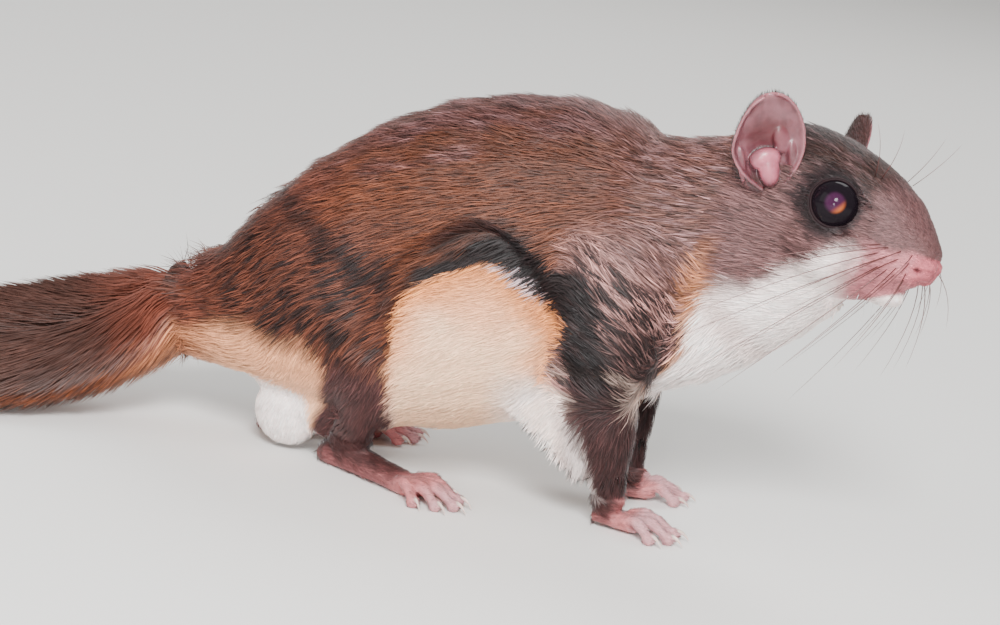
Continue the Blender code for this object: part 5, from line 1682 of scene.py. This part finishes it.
def eye_material(label, side, colours):
    """Black and wet, with a purple disc of painted eyeshine deep in it, a painted reflection of light that
    turns to orange at its lower edge.
    """
    made, tree, shader = new_material("eye_" + label, 0.06, 0.4)
    shader.inputs["IOR"].default_value = 1.22
    front = on_side(EYE_CENTRE, side) + on_side(EYE_AXIS, side) * (EYE_RADIUS + 0.2)
    front = TO_FRAME @ (HEAD_AXES @ front)
    place = node(tree, "ShaderNodeTexCoord")
    offset = node(tree, "ShaderNodeVectorMath", operation="SUBTRACT")
    offset.inputs[1].default_value = front
    tree.links.new(place.outputs["Object"], offset.inputs[0])
    reach = node(tree, "ShaderNodeVectorMath", operation="LENGTH")
    tree.links.new(offset.outputs["Vector"], reach.inputs[0])
    # Painted reflection: a disc of eyeshine, orange towards its lower edge
    disc = add_range(tree, reach.outputs["Value"], (0.0021, 0.0011), interpolation="SMOOTHERSTEP")
    slant = node(tree, "ShaderNodeVectorMath", operation="DOT_PRODUCT")
    slant.inputs[1].default_value = (0.72, 0.0, -0.67)
    tree.links.new(offset.outputs["Vector"], slant.inputs[0])
    low = add_range(tree, slant.outputs["Value"], (0.0003, 0.0021), interpolation="SMOOTHERSTEP")
    painted_eyeshine = mix_colours(tree, low, colours.eyeshine, EYESHINE_EDGE)
    tree.links.new(mix_colours(tree, disc, colours.eye, painted_eyeshine), shader.inputs["Base Color"])
    return made


def eyeball(side):
    """An eyeball whose front bulges a little."""
    centre, axis = on_side(EYE_CENTRE, side), on_side(EYE_AXIS, side)
    ball = add_ball(Vector((0, 0, 0)), (EYE_RADIUS,) * 3, segments=64, rings=48)
    turn = Vector((0, 0, 1)).rotation_difference(axis).to_matrix().to_4x4()
    for vertex in ball.data.vertices:
        lifted = max(0.0, vertex.co.z / EYE_RADIUS - 0.72) / 0.28
        vertex.co.z += 0.22 * lifted * lifted
    ball.data.transform(HEAD_AXES @ Matrix.Translation(centre) @ turn)
    make_active(ball)
    bpy.ops.object.shade_smooth()
    return ball


def lid_rim(side):
    """The wet rim of the lids round an eye, drawn out towards its corners."""
    centre, axis = on_side(EYE_CENTRE, side), on_side(EYE_AXIS, side)
    corner = Vector(RIM_CORNER)
    forward = (corner - axis * axis.dot(corner)).normalized()
    upward = axis.cross(forward)
    line = []
    for k in range(48):
        angle = 2 * math.pi * k / 48
        toward = max(0.0, math.cos(angle)) ** 6 + 0.5 * max(0.0, -math.cos(angle)) ** 8
        tilt = math.asin(LID_RADIUS / EYE_RADIUS) + math.radians(LID_CORNER_REACH) * toward
        out = forward * math.cos(angle) + upward * math.sin(angle)
        line.append(centre + (axis * math.cos(tilt) + out * math.sin(tilt)) * (EYE_RADIUS + 0.12))
    rim = add_closed_tube(line, 0.27, 8)
    rim.data.transform(HEAD_AXES)
    return rim


def add_closed_tube(line, radius, count):
    """A ring of round section that follows a closed line of points."""
    deselect()
    bpy.ops.mesh.primitive_torus_add(major_segments=len(line), minor_segments=count)
    ring = bpy.context.object
    total = len(line)
    middle = sum(line, Vector()) / total
    for k in range(total):
        ahead = (line[(k + 1) % total] - line[k - 1]).normalized()
        out = (line[k] - middle).normalized()
        out = (out - ahead * out.dot(ahead)).normalized()
        over = ahead.cross(out)
        for j in range(count):
            angle = 2 * math.pi * j / count
            place = line[k] + (out * math.cos(angle) + over * math.sin(angle)) * radius
            ring.data.vertices[k * count + j].co = place
    turn_faces_out(ring)
    bpy.ops.object.shade_smooth()
    return ring


class SQUIRREL_OT_eyes(bpy.types.Operator):
    """Makes the glossy eyeballs and the dark wet rims of the lids"""

    bl_idname = "squirrel.eyes"
    bl_label = "Eyes"

    def execute(self, context):
        colours = context.scene.squirrel_colours
        rim_skin = rim_material()
        for label, side in (("right", -1), ("left", 1)):
            material = eye_material(label, side, colours)
            finish_piece(eyeball(side), "eyeball_" + label, "eye", material, "eye_" + label)
            finish_piece(lid_rim(side), "lid_rim_" + label, "eye", rim_skin)
        return {"FINISHED"}


# Ears


def ear_half_width(v):
    """Half width of the ear at a share of its height."""
    if v > EAR_WIDEST:
        return EAR_WIDTH / 2 * max(0.0, 1.0 - ((v - EAR_WIDEST) / (1.0 - EAR_WIDEST)) ** 1.6) ** 0.46
    return EAR_WIDTH / 2 * (1.0 - 0.40 * ((EAR_WIDEST - v) / EAR_WIDEST) ** 2)


def ear_point(u, v):
    """A point of the left ear in its own axes: u from the rear edge to the front one, v from root to tip."""
    angle = EAR_CURL * u
    height = (EAR_TIP - EAR_NOTCH).length
    radius = ear_half_width(v) / math.sin(EAR_CURL) + 0.001
    depth = EAR_DEPTH * (1.0 - 0.5 * v) * (1.0 - math.cos(angle))
    fold = 0.35 * math.exp(-(((v - 0.62) / 0.10) ** 2)) * math.cos(u * 1.4)
    curl = 0.5 * max(0.0, -u - 0.72) / 0.28
    lean = EAR_LEAN * max(0.0, v - EAR_WIDEST) / (1.0 - EAR_WIDEST)
    return Vector((radius * math.sin(angle) + lean + curl * 0.6, depth + fold + curl, height * v))


def ear_matrix():
    """Place and turn of the left ear's own axes in the head's."""
    up = (EAR_TIP - EAR_NOTCH).normalized()
    opening = (EAR_OPENING - up * EAR_OPENING.dot(up)).normalized()
    across = opening.cross(up)
    return Matrix.Translation(EAR_NOTCH) @ Matrix((across, opening, up)).transposed().to_4x4()


def ear_colour(points, normals):
    """Colours of the ear in its own axes: dark back, mauve cup, dark red painted shade in its hollow, pink
    lump and pale rim.
    """
    x, y, z = points.T
    height = (EAR_TIP - EAR_NOTCH).length
    v = np.clip(z / height, 0, 1)
    half = np.array([ear_half_width(share) for share in v])
    across = np.abs(x - EAR_LEAN * np.maximum(v - EAR_WIDEST, 0) / (1 - EAR_WIDEST)) / np.maximum(half, 0.5)
    fine = waves(points, 0.9, 31)
    colour, paint = painter(len(points), "ear_cup")

    # Painted shade in the deep hollow of the cup
    paint("ear_hollow", ease(1.5, 0.5, np.hypot((x - 0.4) / 3.2, (z - 7.0) / 2.4) + 0.15 * fine) * 0.85)
    paint("ear_hollow", ease(0.35, 0.9, fine) * 0.3)
    paint("ear_lump", ease(1.3, 0.5, np.hypot((x + 0.4) / 2.5, (z - 2.4) / 3.2)) * ease(1.0, 2.9, y))
    paint("ear_lump", ease(1.2, 0.4, np.hypot((x - 2.6) / 1.5, (z - 5.2) / 2.6)) * ease(0.5, 1.6, y) * 0.3)
    paint("ear_rim", ease(0.88, 0.98, np.maximum(across, v)) * 0.6)
    paint("ear_back", ease(-0.1, -0.5, normals[:, 1]))
    paint("ear_back", ease(0.2, -2.6, z) * 0.8)
    return colour


def comb_ear(ear, axes, seed):
    """Short hair on the back, the rim and the foot of an ear."""
    turn = np.array(axes)[:3, :3]

    def density(middles, facing):
        local, way = in_axes(middles, axes), facing @ turn
        return ease(0.0, -0.4, way[:, 1]) + 0.8 * ease(1.0, -1.0, local[:, 2]) * ease(0.6, 0.2, way[:, 1])

    rng = np.random.default_rng(seed)
    roots, normals, spots = sample_skin(ear, EAR_TUFTS, density, seed)
    foot = ease(3.0, -1.0, in_axes(roots, axes)[:, 2])
    length = (0.9 + 1.7 * foot) * rng.uniform(0.7, 1.2, EAR_TUFTS)
    foot = foot[:, None]
    upward = np.tile(np.array([0.0, 0.0, 1.0]), (EAR_TUFTS, 1)) @ turn.T
    backward = turned(np.tile(np.array([-1.0, 0.0, 0.0]), (EAR_TUFTS, 1)), HEAD_AXES)
    lie = upward * (1 - foot) + backward * foot + rng.normal(0, 0.12, (EAR_TUFTS, 3))
    lie = along_skin(lie, normals)
    lift = rng.uniform(0.25, 0.5, EAR_TUFTS)[:, None]
    tips = roots + (lie * np.cos(lift) + normals * np.sin(lift)) * length[:, None]
    line = np.stack([roots - normals * 0.08, tips], axis=1)
    colour = np.array(SHADES["crown"]) * (1 - foot) + np.array(SHADES["temple"]) * foot
    tone = np.exp(rng.normal(0, 0.15, EAR_TUFTS))[:, None, None]
    shades = np.clip(np.stack([colour * 0.6, colour * 1.05], axis=1) * tone, 0, 1)
    width = (0.10 + 0.03 * length) * rng.uniform(0.8, 1.2, EAR_TUFTS)
    return build_blades("ear_hair", line, normals, width, shades, spots)


def ear_shape(label):
    """The left ear in its own axes: a curved wall fused with the masses in its cup and at its foot."""
    deselect()
    bpy.ops.mesh.primitive_grid_add(x_subdivisions=28, y_subdivisions=30, size=2.0)
    cup = bpy.context.object
    for vertex in cup.data.vertices:
        vertex.co = ear_point(vertex.co.x, 0.99 - 0.56 * (1 - vertex.co.y))
    apply_modifier(cup, "wall", "SOLIDIFY", thickness=EAR_WALL, offset=0.0)
    masses = [add_ball(Vector(centre), radii) for centre, radii in EAR_MASSES]
    return fuse([cup, *masses], EAR_VOXEL, 11, "ear_shape_" + label)


class SQUIRREL_OT_ears(bpy.types.Operator):
    """Makes the thin ears, each a cup with its folds and shiny lump, and the short hair on its back"""

    bl_idname = "squirrel.ears"
    bl_label = "Ears"

    def execute(self, context):
        skin, hair = ear_material(), coat_material("ear_hair")
        for label, side in (("right", -1), ("left", 1)):
            ear = ear_shape(label)
            paint_vertices(ear.data, ear_colour(*get_arrays(ear.data)))
            axes = HEAD_AXES @ Matrix.Diagonal((1, side, 1, 1)) @ ear_matrix()
            ear.data.transform(axes)
            turn_faces_out(ear)
            unwrap(ear, 0.005)
            finish_piece(ear, "ear_skin_" + label, "bare_skin", skin, "ear_" + label)
            finish_piece(comb_ear(ear, axes, 41), "ear_hair_" + label, "fur_grey", hair)
        return {"FINISHED"}


# Claws and whiskers


def claw_material(claw):
    """Pale horn with faint clouds."""
    made, tree, shader = new_material("claw", 0.3, 0.5)
    shader.inputs["Subsurface Weight"].default_value = 0.3
    shader.inputs["Subsurface Scale"].default_value = 0.0004
    noise = add_texture(tree, "ShaderNodeTexNoise", Scale=1500.0, Detail=2.0).outputs["Fac"]
    mix = mix_colours(tree, noise, [v * 0.7 for v in claw], claw)
    tree.links.new(mix, shader.inputs["Base Color"])
    return made


def claw_shape(pad, ahead):
    """A claw that rises from the toe's pad and curves down to its tip."""
    root = pad + Vector((0, 0, 0.55)) + ahead * 0.4
    line, radii = [], []
    for step in range(CLAW_STEPS + 1):
        t = step / CLAW_STEPS
        line.append(root + ahead * (CLAW_LENGTH * t) + Vector((0, 0, CLAW_RISE * t - CLAW_DROP * t * t)))
        radii.append(CLAW_RADIUS * (1.0 - 0.93 * t ** 1.4))
    return add_tube(line, [r * 0.8 for r in radii], [r * 1.25 for r in radii], count=8)


class SQUIRREL_OT_claws(bpy.types.Operator):
    """Makes the curved claws of all four feet"""

    bl_idname = "squirrel.claws"
    bl_label = "Claws"

    def execute(self, context):
        material = claw_material(context.scene.squirrel_colours.claw)
        for name, foot, toes, inner_side in FEET:
            pieces = [claw_shape(path[-1], ahead) for path, ahead in toe_paths(foot, toes, inner_side)]
            claws = join(pieces, "claw_shape")
            for vertex in claws.data.vertices:
                vertex.co.z = max(vertex.co.z, CLAW_LIFT)
            bpy.ops.object.shade_smooth()
            finish_piece(claws, "claws_" + name, "bare_skin", material)
        return {"FINISHED"}


def whisker_lines():
    """Lines of the whiskers on the pads of the muzzle, the brows and the chin, each with its thickness."""
    rng = np.random.default_rng(17)
    lines = []
    for side in (1, -1):
        for row in range(4):
            for column in range(4):
                root = Vector((13.4 - 1.35 * column, (3.4 + 0.85 * column) * side, -4.0 - 1.25 * row))
                sweep = math.radians(74.0 + 20.0 * column + rng.uniform(-8, 8))
                rise = math.radians(-12.0 - 11.0 * row + rng.uniform(-6, 6))
                length = 14.0 + 4.5 * column + rng.uniform(-2, 3)
                lines.append((whisker_line(root, side, sweep, rise, length, (-0.32, 0.0, -0.36)), 1.0))
        for k in range(2):
            root = Vector((5.6 - 1.4 * k, 6.2 * side, 6.0))
            sweep = math.radians(40 + 25 * k)
            lines.append((whisker_line(root, side, sweep, 0.9, 13.0, (-0.2, 0.0, -0.1)), 0.7))
        for k in range(5):
            root = Vector((11.5 - 1.7 * k, (1.4 + 0.4 * k) * side, -11.9 - 0.25 * k))
            sweep = math.radians(60 + rng.uniform(-25, 25))
            length = 6.0 + rng.uniform(-1, 2.5)
            lines.append((whisker_line(root, side, sweep, -1.25, length, (-0.1, 0, -0.1)), CHIN_WHISKER))
    return lines


def whisker_line(root, side, sweep, rise, length, droop):
    """Points of a whisker from inside the skin out to its tip, bent by its droop."""
    out = Vector((math.cos(sweep) * math.cos(rise), math.sin(sweep) * side * math.cos(rise), math.sin(rise)))
    bend = Vector(droop) * length
    shares = [k / WHISKER_STEPS for k in range(WHISKER_STEPS + 1)]
    return [HEAD_AXES @ (root - out * 0.8 + out * (length * t) + bend * t * t) for t in shares]


def whisker_faces(first):
    """Faces of a whisker whose points start at a number: its sides, its tip and its closed root."""
    faces = []
    for k in range(WHISKER_STEPS - 1):
        for j in range(WHISKER_SIDES):
            i = (j + 1) % WHISKER_SIDES
            low = first + WHISKER_SIDES * k
            high = low + WHISKER_SIDES
            faces.append((low + j, low + i, high + i, high + j))
    last = first + WHISKER_SIDES * (WHISKER_STEPS - 1)
    tip = last + WHISKER_SIDES
    faces += [(last + j, last + (j + 1) % WHISKER_SIDES, tip) for j in range(WHISKER_SIDES)]
    faces.append(tuple(first + j for j in reversed(range(WHISKER_SIDES))))
    return faces


class SQUIRREL_OT_whiskers(bpy.types.Operator):
    """Makes the long tapered whiskers as one joined mesh"""

    bl_idname = "squirrel.whiskers"
    bl_label = "Whiskers"

    def execute(self, context):
        made, tree, shader = new_material("whisker", 0.35, 0.5)
        attribute_colour(tree, shader, 300.0, 0.2)
        radius = context.scene.squirrel_sizes.whisker_radius
        dark = np.array(context.scene.squirrel_colours.whisker)
        vertices, faces, shades = [], [], []
        for line, thick in whisker_lines():
            faces += whisker_faces(len(vertices))
            for k, point in enumerate(line[:-1]):
                ahead = (line[k + 1] - line[max(k - 1, 0)]).normalized()
                across = ahead.cross(Vector((0.1, 0.2, 1.0))).normalized()
                over = ahead.cross(across)
                size = radius * thick * (1.0 - 0.8 * k / WHISKER_STEPS)
                shade = PALE_WHISKER if thick == CHIN_WHISKER else dark * (1.0 + 1.2 * k / WHISKER_STEPS)
                for j in range(WHISKER_SIDES):
                    angle = 2 * math.pi * j / WHISKER_SIDES
                    vertices.append(point + (across * math.cos(angle) + over * math.sin(angle)) * size)
                    shades.append(shade)
            vertices.append(line[-1])
            shades.append(shades[-1])
        mesh = bpy.data.meshes.new("whiskers")
        mesh.from_pydata(vertices, [], faces)
        paint_vertices(mesh, np.array(shades))
        hairs = add_object("whisker_set", mesh)
        turn_faces_out(hairs)
        bpy.ops.object.shade_smooth()
        finish_piece(hairs, "whiskers", "fur_dark", made)
        return {"FINISHED"}


# Stage


def add_floor(colour):
    """The plain floor."""
    deselect()
    bpy.ops.mesh.primitive_plane_add(size=FLOOR_SIZE, location=(0, 0, 0))
    floor = bpy.context.object
    floor.name = "floor"
    made, _, shader = new_material("floor", 0.7, 0.2)
    shader.inputs["Base Color"].default_value = (*colour, 1)
    floor.data.materials.append(made)


def add_light(name, place, power, size):
    """A square light that faces the animal."""
    deselect()
    bpy.ops.object.light_add(type="AREA", location=TO_FRAME @ STAGE_MIDDLE + Vector(place))
    lamp = bpy.context.object
    lamp.name = name
    lamp.data.energy, lamp.data.size = power, size
    lamp.rotation_mode = "QUATERNION"
    lamp.rotation_quaternion = (-Vector(place)).to_track_quat("-Z", "Y")


def add_camera():
    """The camera of the photograph, rolled as it was."""
    deselect()
    bpy.ops.object.camera_add()
    camera = bpy.context.object
    a, e, r = (math.radians(v) for v in (CAMERA_AZIMUTH, CAMERA_ELEVATION, CAMERA_ROLL))
    back = Vector((math.sin(a) * math.cos(e), -math.cos(a) * math.cos(e), math.sin(e)))
    right = Vector((math.cos(a), math.sin(a), 0))
    up = back.cross(right)
    rolled_right = right * math.cos(r) + up * math.sin(r)
    rolled_up = up * math.cos(r) - right * math.sin(r)
    place = TO_FRAME @ (CAMERA_TARGET + back * CAMERA_DISTANCE)
    turn = Matrix((rolled_right, rolled_up, back)).transposed().to_4x4()
    camera.matrix_world = Matrix.Translation(place) @ turn
    camera.data.lens = CAMERA_LENS
    camera.data.sensor_width = CAMERA_SENSOR
    camera.data.clip_start, camera.data.clip_end = 0.01, 20.0
    bpy.context.scene.camera = camera


class SQUIRREL_OT_stage(bpy.types.Operator):
    """Makes the plain floor, the soft studio lights and the camera of the photograph"""

    bl_idname = "squirrel.stage"
    bl_label = "Stage"

    def execute(self, context):
        add_floor(context.scene.squirrel_colours.floor)
        world = bpy.data.worlds.new("studio")
        world.use_nodes = True
        sky = world.node_tree.nodes["Background"]
        sky.inputs["Color"].default_value = SKY_COLOUR
        sky.inputs["Strength"].default_value = SKY_STRENGTH
        context.scene.world = world
        for light in LIGHTS:
            add_light(*light)
        add_camera()
        return {"FINISHED"}


class SQUIRREL_PT_panel(bpy.types.Panel):
    """Lists the pieces of the squirrel in the sidebar"""

    bl_idname = "SQUIRREL_PT_panel"
    bl_label = "Flying squirrel"
    bl_space_type = "VIEW_3D"
    bl_region_type = "UI"
    bl_category = "Squirrel"

    def draw(self, context):
        for operator in OPERATORS:
            self.layout.operator(operator.bl_idname)
        for group in (context.scene.squirrel_sizes, context.scene.squirrel_colours):
            for name in group.__annotations__:
                self.layout.prop(group, name)


OPERATORS = (
    SQUIRREL_OT_skin,
    SQUIRREL_OT_coat,
    SQUIRREL_OT_tail_hair,
    SQUIRREL_OT_eyes,
    SQUIRREL_OT_ears,
    SQUIRREL_OT_claws,
    SQUIRREL_OT_whiskers,
    SQUIRREL_OT_stage,
)
CLASSES = (SquirrelSizes, SquirrelColours, *OPERATORS, SQUIRREL_PT_panel)


def register():
    """Registers the classes and hangs the two groups of settings on the scene."""
    for item in CLASSES:
        bpy.utils.register_class(item)
    bpy.types.Scene.squirrel_sizes = bpy.props.PointerProperty(type=SquirrelSizes)
    bpy.types.Scene.squirrel_colours = bpy.props.PointerProperty(type=SquirrelColours)


def unregister():
    """Undoes what register did."""
    del bpy.types.Scene.squirrel_sizes
    del bpy.types.Scene.squirrel_colours
    for item in reversed(CLASSES):
        bpy.utils.unregister_class(item)


def main():
    """Builds all the pieces and the stage."""
    register()
    bpy.ops.squirrel.skin()
    bpy.ops.squirrel.coat()
    bpy.ops.squirrel.tail_hair()
    bpy.ops.squirrel.eyes()
    bpy.ops.squirrel.ears()
    bpy.ops.squirrel.claws()
    bpy.ops.squirrel.whiskers()
    bpy.ops.squirrel.stage()


if __name__ == "__main__":
    main()
